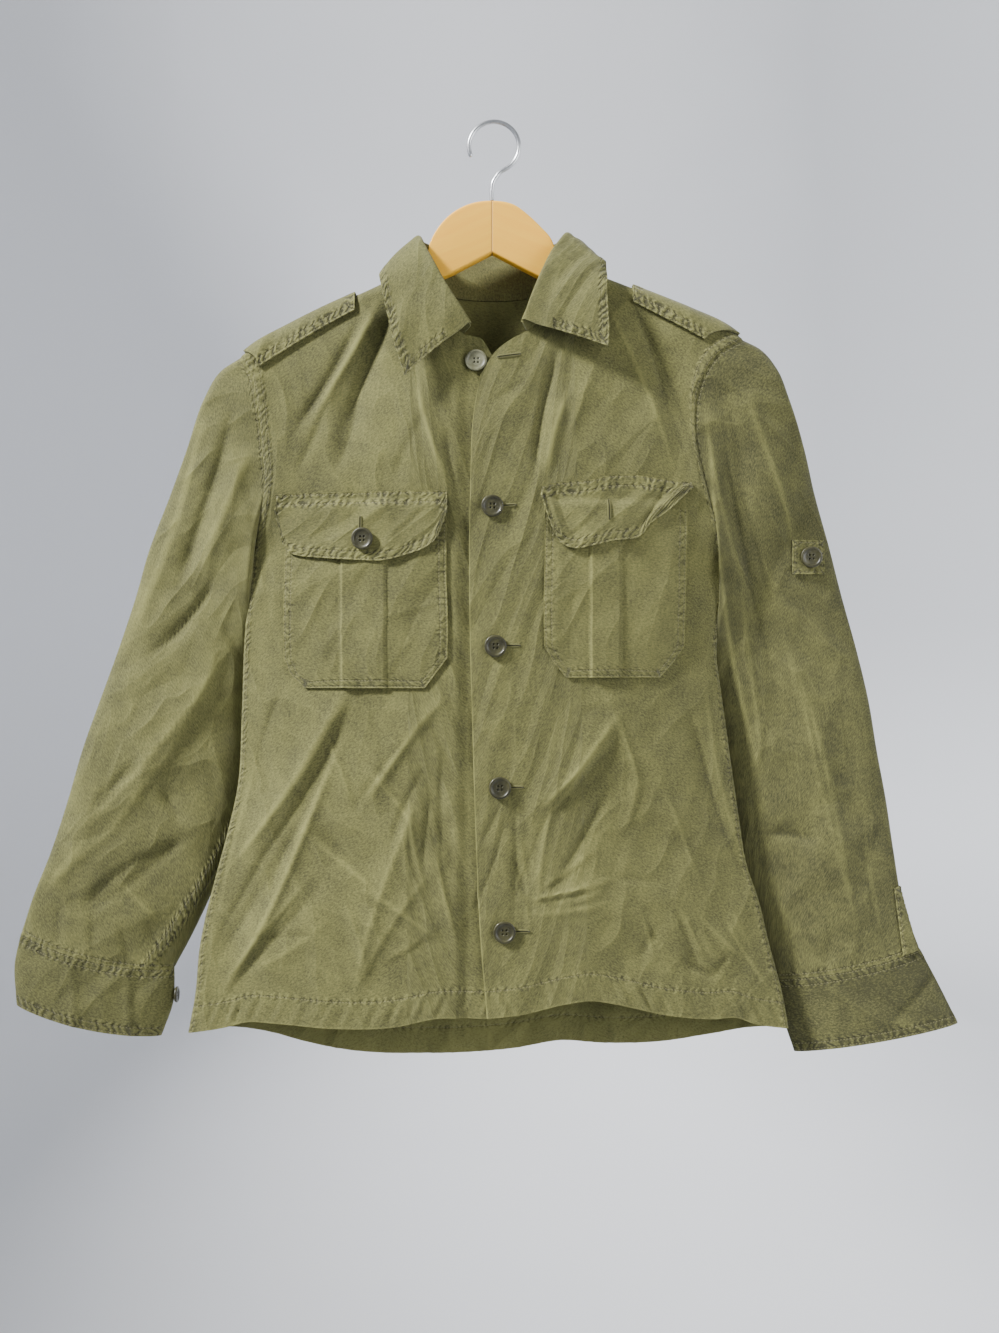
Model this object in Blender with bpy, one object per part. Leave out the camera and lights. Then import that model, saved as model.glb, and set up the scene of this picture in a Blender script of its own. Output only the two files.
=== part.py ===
"""Military utility shirt on a wooden hanger, built piece by piece as it is cut and sewn.

Everything is worked out in millimetres and turned into metres when a mesh is made.
+X is to the right as the front is seen, the front faces -Y and +Z is up. The origin is
the inside top of the hanger's hook, where a rail holds it. Left and right are as seen
from the front. Cloth pieces are closed walls: an outer skin on a grid, an inner skin one
cloth thickness inside it, and rims that join the two.
"""
import math

import bpy
import numpy as np
from mathutils.bvhtree import BVHTree

MM = 0.001
CLOTH = 1.4
FLAP_CLOTH = 1.8
COLLAR_CLOTH = 2.0
CUFF_CLOTH = 2.0
SIDES = ("left", "right")
SEAM_PULL = 0.2
LAID_GAP = 0.8

# Depth of the hanging body: radius over the hanger, then how far front and back stand out.
RIDGE_RADIUS = 9.0
FRONT_SWELL = 31.0
BACK_SWELL = 24.0
SWELL_LENGTH = 110.0
ARMHOLE_SWELL = 7.0
ARMHOLE_SWELL_LENGTH = 40.0
SHOULDER_COSINE = 0.89
EDGE_DEPTH = 5.0
EDGE_ROUND = 6.0
UNDER_LAP = 3.4
LAP_EDGE = -34.0
LAP_FADE = 12.0
MIDDLE_BLEND = 30.0
# How far above the underarm the side's depth and its closing fade, how full the panel is
# towards its side, and how far from the side and the shoulder folds come in.
DEPTH_FADE = 60.0
CLOSING_FADE = 40.0
SIDE_FULLNESS = 2.2
FOLDS_FROM_SIDE = 40.0
FOLDS_FROM_SHOULDER = 45.0

# Outline tables, one row a point: x, z.
ARMHOLE = {
    "left": [(-223, -206), (-212, -221), (-207.5, -240), (-204, -262), (-201.5, -289),
             (-199.5, -316), (-202, -338), (-207, -360), (-213, -384)],
    "right": [(219, -190.5), (193, -207), (182, -224), (176.5, -241), (174.5, -262),
              (177, -288), (183, -315), (191, -346), (199, -376), (204.5, -406)],
}
SIDE_SEAM = {
    "left": [(-213, -384), (-216.5, -419), (-219.5, -454), (-222, -521), (-225.6, -583),
             (-235, -625), (-246, -666), (-254, -698), (-259, -724), (-263, -766),
             (-269, -799)],
    "right": [(204.5, -406), (198.5, -438), (195.5, -462), (200, -504), (206.5, -550),
              (216, -615), (222, -651), (232.5, -682), (242, -721), (254.5, -769),
              (259, -795)],
}
SHOULDER = {
    "left": [(-73, -128), (-110, -146), (-144, -161), (-182, -180), (-210, -195.5),
             (-223, -206)],
    "right": [(71, -125.2), (110, -140), (137, -150.5), (172, -164.5), (205, -180),
              (219, -190.5)],
}
NECKLINE = {
    "left": [(10, -232), (-2, -208), (-11, -194), (-26, -189.5), (-47, -174), (-61, -152),
             (-68, -137), (-73, -128)],
    "right": [(-11.5, -226), (2, -205), (17, -193.5), (27, -188), (46, -171), (59, -149),
              (66, -134), (71, -125.2)],
}
FRONT_EDGE = {
    "left": [(10, -232), (12, -300), (12, -430), (14, -560), (18, -680), (22, -777)],
    "right": [(-11.5, -226), (-16.5, -252), (-20.5, -330),
              (-21, -430), (-18.5, -531), (-16, -615), (-11.5, -712), (-6, -778)],
}
FRONT_HEM = {
    "left": [(22, -777), (-6, -778.5), (-47, -778), (-86, -786), (-140, -788.5),
             (-190, -786), (-214, -786), (-235, -792), (-269, -799)],
    "right": [(-6, -778), (22, -775), (62, -766), (84, -763.5), (105, -767), (149, -777.5),
              (190, -782.5), (211, -782.5), (225, -788), (259, -795)],
}
BACK_NECK = [(-73, -128), (-67.5, -136), (-59, -142.5), (-45, -148), (-25, -151.5),
             (-1, -152.5), (23, -151.5), (43, -147.5), (57, -140.5), (65.5, -133),
             (71, -125.2)]
BACK_HEM = [(-269, -799), (-235, -797), (-197, -804), (-171, -812.5), (-140, -820),
            (-105, -824.5), (-61, -825.5), (-17, -824.5), (22, -821), (61, -814),
            (92, -815.5), (150, -813), (192, -805), (230, -797), (259, -795)]

# Sleeve edges as they hang, from the shoulder tip and the underarm down to the cuff.
SLEEVE_OUTER = {
    "left": [(-223, -206), (-241, -218), (-255, -241), (-271, -285), (-289, -329),
             (-307, -374), (-320, -418), (-335, -463), (-351, -507), (-367, -552),
             (-379.5, -596), (-394, -641), (-411, -685), (-420, -714)],
    "right": [(219, -190.5), (234, -198), (250, -217), (260, -241), (274.5, -285),
              (286, -329), (299, -374), (310.5, -418), (323, -463), (333.5, -507),
              (341, -552), (349, -596), (355.5, -641), (363, -685), (378, -728)],
}
SLEEVE_INNER = {
    "left": [(-213, -384), (-219.5, -402), (-225, -430), (-227, -460), (-226, -505),
             (-226, -552), (-230, -596), (-242, -641), (-254, -668), (-265, -707),
             (-273, -724), (-284.5, -745)],
    "right": [(204.5, -406), (208.5, -424), (209, -450), (206, -480), (204, -507),
              (206, -552), (210.5, -596), (218, -641), (230, -686), (239, -721),
              (249, -754)],
}
CUFF_OUTER = {
    "left": [(-420, -714), (-426, -742), (-424, -778)],
    "right": [(378, -728), (394, -758), (412, -794)],
}
CUFF_INNER = {
    "left": [(-284.5, -745), (-285.5, -775), (-296, -805)],
    "right": [(249, -754), (256, -785), (267, -819)],
}
CUFF_SEAM_DIP = {"left": 8.0, "right": 4.0}
CUFF_HEM_DIP = {"left": 6.0, "right": 2.0}

# Sleeve depth: distance behind the shoulder line and half thickness, by share of length.
SLEEVE_DEPTH = [
    # share, centre y, half depth
    (0.00, 0.0, 15.0),
    (0.08, 0.6, 15.0),
    (0.16, 4.0, 15.0),
    (0.26, 13.0, 15.0),
    (0.40, 17.0, 14.5),
    (0.70, 17.0, 14.0),
    (1.00, 14.0, 12.0),
]
# Shares of a sleeve's length: where its rings have left the armhole's form, and where its
# folds have come in and go out again; how much of them shows behind.
LEAVE_ARMHOLE = 0.24
FOLDS_IN = 0.12
FOLDS_OUT = 0.06
FOLDS_LEFT = 0.25
FOLDS_BEHIND = 0.6
RING_CROWDING = 1.12

# Largest folds. A row is a soft ridge, or a trough where the height is negative, from
# (x0, z0) to (x1, z1), with its half width and its height.
FRONT_FOLDS = [
    (-92, -166, -131, -290, 13, -4.5), (-106, -158, -146, -252, 12, 3.0),
    (-118, -178, -164, -262, 12, -2.5), (-66, -232, -42, -318, 14, 2.6),
    (-130, -510, -222, -640, 16, 4.0),
    (-128, -528, -258, -754, 12, -3.2), (-142, -574, -226, -738, 13, 3.4),
    (-50, -515, -104, -584, 10, 2.8), (-76, -606, -116, -750, 13, 3.4),
    (-112, -652, -190, -560, 12, -2.0), (-36, -606, -38, -660, 12, -2.4),
    (-60, -570, -42, -660, 10, -1.8), (124, -164, 176, -306, 14, -4.5),
    (106, -168, 150, -300, 12, 2.4), (50, -206, 38, -304, 12, -3.0),
    (62, -244, 46, -308, 11, 2.6), (102, -528, 48, -600, 12, 3.4),
    (104, -582, 42, -680, 13, -3.0), (40, -690, 92, -680, 11, 2.2),
    (24, -600, 28, -700, 12, -2.4),
    (170, -530, 216, -650, 14, -3.0), (204, -700, 236, -756, 14, 2.4),
    (160, -738, 206, -744, 12, -2.0), (-204, -740, -150, -700, 14, 2.0),
]
BACK_FOLDS = [
    (-150, -190, -96, -330, 17, 4.0), (140, -180, 96, -320, 17, 4.0),
    (-60, -210, -40, -420, 16, -3.0), (62, -220, 34, -400, 16, -3.0),
    (-8, -300, 10, -560, 18, 2.6), (-180, -420, -120, -620, 18, -3.4),
    (176, -430, 128, -640, 18, -3.4), (-110, -600, -150, -800, 18, 4.0),
    (-30, -640, -50, -815, 16, -3.2), (52, -620, 34, -810, 15, 3.6),
    (120, -650, 104, -805, 15, -3.4), (190, -660, 208, -780, 15, 3.0),
    (-196, -650, -214, -770, 15, -3.0),
]
SLEEVE_FOLDS = {
    "left": [
        (-256, -276, -318, -440, 13, 3.0), (-230, -250, -270, -402, 14, -4.0),
        (-214, -290, -250, -392, 11, 3.0), (-246, -404, -298, -466, 10, -2.4),
        (-244, -474, -360, -620, 15, 4.6), (-312, -566, -352, -606, 10, -3.6),
        (-274, -634, -350, -686, 10, -3.6), (-360, -626, -392, -668, 13, 3.0),
        (-290, -590, -274, -616, 9, -2.0), (-300, -700, -330, -668, 11, 2.0),
    ],
    "right": [
        (200, -216, 246, -506, 13, -4.4), (186, -278, 230, -548, 11, 3.4),
        (228, -250, 256, -350, 12, 2.6), (258, -464, 316, -680, 18, 3.4),
        (243, -624, 282, -632, 10, -3.0), (330, -612, 338, -708, 10, 2.4),
        (300, -560, 338, -640, 13, -2.0), (262, -690, 290, -738, 12, -2.4),
    ],
}

# Pockets: one row a height, z, left x and right x. The pleat is the strip between its edges.
POCKET = {
    "left": {
        "rows": [(-341, -181, -40.5), (-358, -181, -40.5), (-378, -181.5, -40.5),
                 (-402, -182, -40.5), (-426, -182.5, -39.5), (-448, -182.5, -39),
                 (-470, -182, -39.5), (-484, -176.5, -50), (-496, -163, -59)],
        "pleat": (-130.2, -93.2),
    },
    "right": {
        "rows": [(-341, 43, 167), (-356, 43.5, 167), (-374, 43.5, 166.5),
                 (-398, 43, 166.5), (-422, 42.5, 166), (-440, 42.5, 165.5),
                 (-460, 43, 165), (-474, 51, 155), (-487, 62, 143)],
        "pleat": (83, 107),
    },
}
PLEAT_RAISE = 1.6
POCKET_PUFF = 2.2
PUFF_POWER = 0.7
PLEAT_SIDE = 1.6
POCKET_COLUMNS = {"beside": 4, "pleat": 3}

# Flaps: one row a station across, x, z at the top and z at the bottom.
FLAP = {
    "left": [(-188.5, -328.5, -343), (-182, -328.2, -371), (-172, -328, -380.5),
             (-147, -327.6, -384), (-112, -327.4, -386.5), (-92, -327.2, -386.5),
             (-72, -327, -381), (-58, -327, -375.5), (-48, -327, -366), (-40, -327, -345)],
    "right": [(41, -323, -331), (48, -321, -354), (57, -319.5, -371.5), (69, -318.8, -376.3),
              (83, -317, -374), (101.5, -313, -369.5), (123, -312.5, -366),
              (134, -314, -354), (147, -315.5, -345), (159, -317, -334), (171, -318, -322)],
}
FLAP_CURL = {"left": 1.0, "right": 3.5}
FLAP_GAP = 1.2
FLAP_EASE = 18.0
FLAP_STEP = 9.0
FLAP_ROWS = np.array([0.0, 0.2, 0.45, 0.72, 1.0])

# Shoulder straps: x of the collar end, and reach in front and behind at both ends.
STRAP = {
    "left": {"start": -121, "front": (20, 27), "back": (20, 24)},
    "right": {"start": 121, "front": (19, 26), "back": (20, 24)},
}
STRAP_INSET = 4.5
STRAP_GAP = 1.1
STRAP_GRID = (10, 6)
STRAP_CLOTH = 2.4
INSIDE = (0.0, 0.0, -260.0)

# Collar stations from the left front end round the back to the right front end. A front
# or the back gives each station its neck column, counted from the front edge or from the
# left; then come the roll line and the leaf's outer edge as x, y, z.
COLLAR = [
    # place, neck column, roll x, y, z, edge x, y, z
    ("left", 3, -20, -30, -184, -76, -40, -229.5),
    ("left", 4, -29, -31, -169.5, -82, -40, -210),
    ("left", 5, -41, -27, -150, -89, -37, -186),
    ("left", 6, -53, -20, -127, -94.5, -31, -160),
    ("left", 7, -60, -13, -113, -97, -24, -146),
    ("back", 0, -64, -3, -103, -98, -11, -136),
    ("back", 1, -66, 7, -101, -97, 8, -133),
    ("back", 2, -61, 17, -102, -88, 21, -139),
    ("back", 3, -42, 27, -107, -60, 34, -151),
    ("back", 4, -14, 31, -110.5, -20, 39, -158),
    ("back", 5, 12, 31, -110, 18, 39, -158),
    ("back", 6, 40, 27, -106, 57, 34, -149),
    ("back", 7, 59.5, 17, -100.5, 86, 21, -132),
    ("back", 8, 64.5, 7, -99, 95, 8, -122),
    ("back", 9, 62, -3, -100, 96, -11, -127),
    ("right", 7, 57, -12, -108, 97, -22, -139),
    ("right", 6, 49, -19, -121, 97, -30, -150),
    ("right", 5, 40, -26, -141, 97.5, -35, -169),
    ("right", 4, 32, -30.5, -162, 98.5, -38, -187),
    ("right", 3, 25, -30, -181, 97.5, -39, -204),
]
STAND_STEPS = 3
STAND_TOP = 0.86
LEAF_STEPS = 5
LEAF_START = 0.12
LEAF_CROWN = 3.0
ROLL_FULLNESS = 3.2
CREST = 1.8
COLLAR_RISE = 0.6

# Buttons by the x and z of their centres; each lies on the cloth under it.
BUTTON_RADIUS = 9.4
BUTTON_HEIGHT = 3.0
BUTTON_SIDES = 12
BUTTON_FOOT = 0.72
BUTTON_GAP = 0.45
# Half section of a button, from the middle of its back over the rim to its face: share of
# the radius and share of the height.
BUTTON_PROFILE = [(0.0, 0.0), (BUTTON_FOOT, 0.0), (1.0, 0.45), (0.97, 0.85), (0.86, 1.0),
                  (0.72, 0.72), (0.0, 0.62)]
BUTTONS = {
    "button_top": (-15.3, -213.5),
    "button_front_2": (-1.3, -340),
    "button_front_3": (1.4, -460),
    "button_front_4": (5.2, -581),
    "button_front_5": (9, -704),
    "button_pocket": (-112.5, -368),
    "button_sleeve": (279, -381),
}
# Cuff buttons: where the back of each rests, the way that it faces and its radius.
CUFF_BUTTONS = {
    "button_cuff_left": ((-283.9, 14.0, -769.0), (1.0, 0.0, 0.0), 7.0),
    "button_cuff_right": ((276.4, 23.1, -786.0), (-0.3, 1.0, 0.0), 7.0),
}
SLEEVE_PATCH = {"x": (262.5, 291.5), "z": (-396, -366)}
PATCH_CLOTH = 1.2
PATCH_POINTS = 5
RAY = 200.0
# Way that the seams face where the side seam meets the armhole.
UNDERARM_FACING = {"left": (-0.17, 0.0, -0.985), "right": (0.17, 0.0, -0.985)}

# Hanger: the wood's top and bottom edges by x, thickness, and the wire hook.
WOOD_HALF_THICKNESS = 6.0
WOOD_EDGE = 3.0
WOOD_TOP_GAP = ((70.0, 95.0), (6.5, 3.6))
ARCH = [(-61, -127.5), (-58.5, -121), (-57, -108), (-50, -93.5), (-37, -79.5), (-22, -71.5),
        (-1.8, -68.5), (17, -71.8), (30, -81), (41, -91.5), (49.5, -101), (54, -112), (56, -120),
        (58.5, -126)]
ARM_END = {"left": -206.0, "right": 202.0}
ARM_INNER = {"left": -70.0, "right": 68.0}
ARM_STATIONS = 9
ARM_REACH = (45.0, 200.0)
ARM_DEPTH = (30.0, 15.0)
CHEVRON = (-1.8, -115.0)
CHEVRON_SLOPE = 0.52
CHEVRON_END = 40.0
CHEVRON_FADE = 60.0
HOOK_WIRE = 1.9
HOOK_RADIUS = 22.0
HOOK_STEM = [(-1.8, -68.1), (-1.8, -58), (-0.6, -51), (3.5, -44.5)]
HOOK_START = -55.0
HOOK_END = 205.0
HOOK_POINTS = 32
HOOK_SIDES = 8
STEM_POINTS = 8
BEND_POINTS = 24

# Row and column spacing of the body pieces.
ARM_ROWS = np.array([0, 0.008, 0.03, 0.07, 0.13, 0.22, 0.34, 0.48, 0.63, 0.78, 0.89, 0.96, 1.0])
ARM_SHARE = 0.31
SIDE_ROWS = 15
FRONT_NECK = np.array([0, 0.143, 0.286, 0.429, 0.571, 0.714, 0.857, 0.95, 1.0])
BACK_NECK_COLUMNS = np.array([0, 0.05, 0.15, 0.29, 0.43, 0.57, 0.71, 0.85, 0.95, 1.0])
NECK_SHARE = 0.33
FRONT_PULLS = (5, 3)
BACK_PULLS = (7, 7)
NECK_COLUMN = len(FRONT_NECK) - 1
FRONT_COLUMNS = np.concatenate([
    FRONT_NECK * NECK_SHARE, [0.44, 0.55, 0.66, 0.77, 0.87, 0.945, 0.982, 1.0]])
SLEEVE_RINGS = 18
CUFF_RINGS = 3

COLOURS = {
    "cloth": (0.205, 0.185, 0.082), "button": (0.05, 0.055, 0.035), "wood": (0.80, 0.52, 0.22),
    "steel": (0.62, 0.63, 0.64),
}


def smooth(value):
    """Ease from 0 to 1, level at both ends."""
    value = np.clip(value, 0.0, 1.0)
    return value * value * (3.0 - 2.0 * value)


def along(points, shares):
    """Points at the given shares of the length of a smooth curve through a table's rows."""
    points = np.asarray(points, float)
    steps = np.linalg.norm(np.diff(points, axis=0), axis=1)
    knots = np.concatenate([[0.0], np.cumsum(steps)])
    slopes = np.gradient(points, knots, axis=0)
    at = np.asarray(shares, float) * knots[-1]
    index = np.clip(np.searchsorted(knots, at, side="right") - 1, 0, len(points) - 2)
    width = (knots[index + 1] - knots[index])[..., None]
    u = (at[..., None] - knots[index][..., None]) / width
    start, end = points[index], points[index + 1]
    return ((2 * u**3 - 3 * u**2 + 1) * start + (u**3 - 2 * u**2 + u) * width * slopes[index]
            + (3 * u**2 - 2 * u**3) * end + (u**3 - u**2) * width * slopes[index + 1])


def edge_table(side):
    """x of the body's outer edge by z: down the armhole, then down the side seam."""
    shares = np.linspace(0, 1, 60)
    outline = np.vstack([along(ARMHOLE[side], shares), along(SIDE_SEAM[side], shares[1:])])
    return outline[::-1, 1], outline[::-1, 0]


EDGE = {side: edge_table(side) for side in SIDES}


def body_edge(side, z):
    return np.interp(z, *EDGE[side])


def shoulder_line(side, x):
    """Height of the shoulder ridge over x, carried straight on towards the middle."""
    line = along(SHOULDER[side], np.linspace(0, 1, 60))
    (x0, z0), (x1, z1) = line[0], line[20]
    inward = z0 + (z1 - z0) / (x1 - x0) * (x - x0)
    order = np.argsort(line[:, 0])
    outward = np.interp(x, line[order, 0], line[order, 1])
    return np.where(np.abs(x) < abs(x0), inward, outward)


def folds(table, x, z):
    """Sum of soft ridges: a bell across each fold that fades towards its two ends."""
    total = np.zeros(np.broadcast(x, z).shape)
    for x0, z0, x1, z1, width, height in table:
        length = math.hypot(x1 - x0, z1 - z0)
        ux, uz = (x1 - x0) / length, (z1 - z0) / length
        on = (x - x0) * ux + (z - z0) * uz
        off = (x - x0) * uz - (z - z0) * ux
        fade = smooth(0.5 + on / (0.5 * length)) * smooth(0.5 + (length - on) / (0.5 * length))
        total = total + height * np.exp(-(off / width) ** 2) * fade
    return total


def half_depth(side, face, x, z):
    """How far a body panel stands out from the shoulder plane at x, z."""
    drop = np.maximum(shoulder_line(side, x) - z, 0.0) * SHOULDER_COSINE
    ridge = RIDGE_RADIUS * np.sqrt(1.0 - (1.0 - np.clip(drop / RIDGE_RADIUS, 0, 1)) ** 2)
    swell = FRONT_SWELL if face == "front" else BACK_SWELL
    full = ridge + swell * (1.0 - np.exp(-drop / SWELL_LENGTH))
    arm = ridge + ARMHOLE_SWELL * (1.0 - np.exp(-drop / ARMHOLE_SWELL_LENGTH))
    underarm = ARMHOLE[side][-1][1]
    edge = EDGE_DEPTH + (arm - EDGE_DEPTH) * smooth((z - underarm) / DEPTH_FADE)
    closing = 1.0 - smooth((z - underarm) / CLOSING_FADE)
    outer = body_edge(side, z)
    gap = np.abs(outer - x) * (np.abs(x) < np.abs(outer))
    rounding = np.sqrt(1.0 - (closing * (1.0 - np.clip(gap / EDGE_ROUND, 0, 1))) ** 2)
    inward = 1.0 - (1.0 - np.clip(gap / np.abs(outer), 0, 1)) ** SIDE_FULLNESS
    depth = edge * rounding + (full - edge) * inward
    loose = smooth(gap / FOLDS_FROM_SIDE) * smooth(drop / FOLDS_FROM_SHOULDER)
    table = FRONT_FOLDS if face == "front" else BACK_FOLDS
    return depth + folds(table, x, z) * loose


def body_y(face, x, z):
    """y of the body's outer skin at x, z, with the two sides blended in the middle."""
    left = half_depth("left", face, x, z)
    right = half_depth("right", face, x, z)
    share = smooth((x + MIDDLE_BLEND) / (2.0 * MIDDLE_BLEND))
    depth = left + (right - left) * share
    return -depth if face == "front" else depth


def lap(x):
    """How far the left front's edge lies behind the right front, which laps over it."""
    return UNDER_LAP * smooth((x - LAP_EDGE) / LAP_FADE)


def side_rows(side):
    arm = along(ARMHOLE[side], ARM_ROWS)
    seam = along(SIDE_SEAM[side], np.linspace(0, 1, SIDE_ROWS + 1))[1:]
    return np.vstack([arm, seam])


def row_shares():
    lower = np.linspace(ARM_SHARE, 1.0, SIDE_ROWS + 1)[1:]
    return np.concatenate([ARM_ROWS * ARM_SHARE, lower])


def patch(top, bottom, start, end, rows, columns, pulls):
    """Patch between four edges: straight from top to bottom, and near its first and last
    columns moved onto the start and end edges."""
    v = rows[:, None, None]
    s = columns[None, :, None]
    down = (1 - v) * top[None] + v * bottom[None]
    to_start = (1 - s) ** pulls[0] * (start[:, None] - down[:, :1])
    to_end = s ** pulls[1] * (end[:, None] - down[:, -1:])
    return down + to_start + to_end


def shoulder_points(side):
    shares = (FRONT_COLUMNS[NECK_COLUMN:] - FRONT_COLUMNS[NECK_COLUMN])
    return along(SHOULDER[side], shares / shares[-1])


def front_grid(side):
    """Outer skin of a front, from its front edge to the armhole and side seam."""
    neck = along(NECKLINE[side], FRONT_NECK[:-1])
    top = np.vstack([neck, shoulder_points(side)])
    bottom = along(FRONT_HEM[side], FRONT_COLUMNS)
    rows = row_shares()
    flat = patch(top, bottom, along(FRONT_EDGE[side], rows), side_rows(side), rows,
                 FRONT_COLUMNS, FRONT_PULLS)
    x, z = flat[..., 0], flat[..., 1]
    y = body_y("front", x, z)
    if side == "left":
        y = y + lap(x)
    y[0, NECK_COLUMN:] = 0.0
    y[len(ARM_ROWS) - 1:, -1] = 0.0
    return np.stack([x, y, z], axis=-1)


def back_grid():
    """Outer skin of the back, from the left side to the right one."""
    left = shoulder_points("left")[::-1]
    right = shoulder_points("right")
    neck = along(BACK_NECK, BACK_NECK_COLUMNS)[1:-1]
    shares = (1.0 - FRONT_COLUMNS[NECK_COLUMN:][::-1]) / 2.0
    middle = (shares[-1] + (1.0 - 2.0 * shares[-1]) * BACK_NECK_COLUMNS)[1:-1]
    columns = np.concatenate([shares, middle, 1.0 - shares[::-1]])
    top = np.vstack([left, neck, right])
    bottom = along(BACK_HEM, columns)
    flat = patch(top, bottom, side_rows("left"), side_rows("right"), row_shares(), columns,
                 BACK_PULLS)
    x, z = flat[..., 0], flat[..., 1]
    y = body_y("back", x, z)
    y[0, :len(left)] = 0.0
    y[0, -len(right):] = 0.0
    y[len(ARM_ROWS) - 1:, [0, -1]] = 0.0
    return np.stack([x, y, z], axis=-1)


def ring_line(outer, inner, shares, dip):
    """Points from the outer to the inner edge of a sleeve section, bowed down by dip."""
    line = outer + (inner - outer) * shares[:, None]
    line[:, 1] -= dip * 4.0 * shares * (1.0 - shares)
    return line


def ring_shares():
    """Even turns round a half ring, as shares of the way across it."""
    return (1.0 - np.cos(np.linspace(0, math.pi, len(ARM_ROWS)))) / 2.0


def sleeve_grid(side):
    """Rings of a sleeve: down its front face from the outer edge, and back up behind."""
    table = np.array(SLEEVE_DEPTH)
    arm = along(ARMHOLE[side], ARM_ROWS)
    even = ring_shares()
    along_share = np.linspace(0, 1, SLEEVE_RINGS + 1) ** RING_CROWDING
    outer = along(SLEEVE_OUTER[side], along_share)
    inner = along(SLEEVE_INNER[side], along_share)
    chord = arm[0] + (arm[-1] - arm[0]) * ARM_ROWS[:, None]
    rings = []
    for row, share in enumerate(along_share):
        leave = smooth(share / LEAVE_ARMHOLE)
        shares = ARM_ROWS + (even - ARM_ROWS) * leave
        line = ring_line(outer[row], inner[row], shares, CUFF_SEAM_DIP[side] * share**3)
        line = line + (arm - chord) * (1.0 - leave)
        x, z = line[:, 0], line[:, 1]
        centre = np.interp(share, table[:, 0], table[:, 1])
        middle = 4 * shares * (1 - shares)
        half = np.interp(share, table[:, 0], table[:, 2]) * np.sqrt(middle)
        loose = smooth(share / FOLDS_IN) * middle
        loose = loose * smooth((1.0 - share) / FOLDS_OUT + FOLDS_LEFT)
        ridges = folds(SLEEVE_FOLDS[side], x, z)
        halves = []
        for face, sign, lift in (("front", -1.0, 1.0), ("back", 1.0, FOLDS_BEHIND)):
            body = np.abs(half_depth(side, face, arm[:, 0], arm[:, 1]))
            body[0] = body[-1] = 0.0
            depth = body + (half - body) * leave
            y = centre + sign * (depth + lift * ridges * loose)
            halves.append(np.stack([x, y, z], axis=-1))
        rings.append(np.vstack([halves[0], halves[1][-2:0:-1]]))
    return np.array(rings)


def cuff_grid(side, top):
    """Rings of a cuff, going on from the sleeve's last ring to the cuff's own hem."""
    even = ring_shares()
    centre, half = SLEEVE_DEPTH[-1][1:]
    rings = [top]
    for share in np.linspace(0, 1, CUFF_RINGS + 1)[1:]:
        outer = along(CUFF_OUTER[side], np.array([share]))[0]
        inner = along(CUFF_INNER[side], np.array([share]))[0]
        dip = CUFF_SEAM_DIP[side] + (CUFF_HEM_DIP[side] - CUFF_SEAM_DIP[side]) * share
        line = ring_line(outer, inner, even, dip)
        depth = half * np.sqrt(4 * even * (1 - even))
        front = np.stack([line[:, 0], centre - depth, line[:, 1]], axis=-1)
        back = np.stack([line[:, 0], centre + depth, line[:, 1]], axis=-1)
        rings.append(np.vstack([front, back[-2:0:-1]]))
    return np.array(rings)


def quads(rows, columns, wrap):
    """Corner numbers of the faces of a grid, row by row."""
    faces = []
    for j in range(rows - 1):
        for i in range(columns if wrap else columns - 1):
            k = (i + 1) % columns
            faces.append((j * columns + i, (j + 1) * columns + i,
                          (j + 1) * columns + k, j * columns + k))
    return np.array(faces)


def face_normals(points, faces):
    first = points[faces[:, 2]] - points[faces[:, 0]]
    second = points[faces[:, 3]] - points[faces[:, 1]]
    return np.cross(first, second)


def outward_sign(points, wrap):
    """1 where the grid's faces point away from the garment's inside, else -1."""
    flat = points.reshape(-1, 3)
    faces = quads(*points.shape[:2], wrap)
    middle = flat[faces].mean(axis=1)
    inside = middle * np.array([1.0, 0.0, 1.0])
    if wrap:
        inside = np.repeat(points.mean(axis=1)[:-1], points.shape[1], axis=0)
    return 1.0 if np.sum(face_normals(flat, faces) * (middle - inside)) > 0 else -1.0


def shared_normals(grids):
    """Outward normals of every grid point, averaged where two pieces share a seam."""
    keys, totals = [], {}
    for points, wrap in grids:
        flat = points.reshape(-1, 3)
        faces = quads(*points.shape[:2], wrap)
        normal = face_normals(flat, faces) * outward_sign(points, wrap)
        names = [tuple(row) for row in np.round(flat, 2)]
        keys.append(names)
        for face, value in zip(faces, normal):
            for corner in face:
                totals[names[corner]] = totals.get(names[corner], 0.0) + value
    for side in SIDES:
        x, z = ARMHOLE[side][-1]
        totals[(float(x), 0.0, float(z))] = np.array(UNDERARM_FACING[side])
    result = []
    for (points, _), names in zip(grids, keys):
        normal = np.array([totals[name] for name in names])
        normal /= np.linalg.norm(normal, axis=1)[:, None]
        result.append(normal.reshape(points.shape))
    return result


def open_seams(points, normals, seams):
    """Move each seamed edge of a grid a little into its own piece."""
    moved = points.copy()
    for edge, inside in seams:
        direction = points[inside] - points[edge]
        n = normals[edge]
        direction = direction - np.sum(direction * n, axis=-1, keepdims=True) * n
        direction /= np.linalg.norm(direction, axis=-1, keepdims=True)
        moved[edge] = moved[edge] + direction * SEAM_PULL
    return moved


def material(name, kind, roughness, metallic=0.0):
    made = bpy.data.materials.new(name)
    made.use_nodes = True
    shader = made.node_tree.nodes["Principled BSDF"]
    shader.inputs["Base Color"].default_value = (*COLOURS[kind], 1.0)
    shader.inputs["Roughness"].default_value = roughness
    shader.inputs["Metallic"].default_value = metallic
    return made


def closed_volume(points, faces):
    total = 0.0
    for face in faces:
        for a in range(1, len(face) - 1):
            corners = points[[face[0], face[a], face[a + 1]]]
            total += np.dot(corners[0], np.cross(corners[1], corners[2]))
    return total


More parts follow.
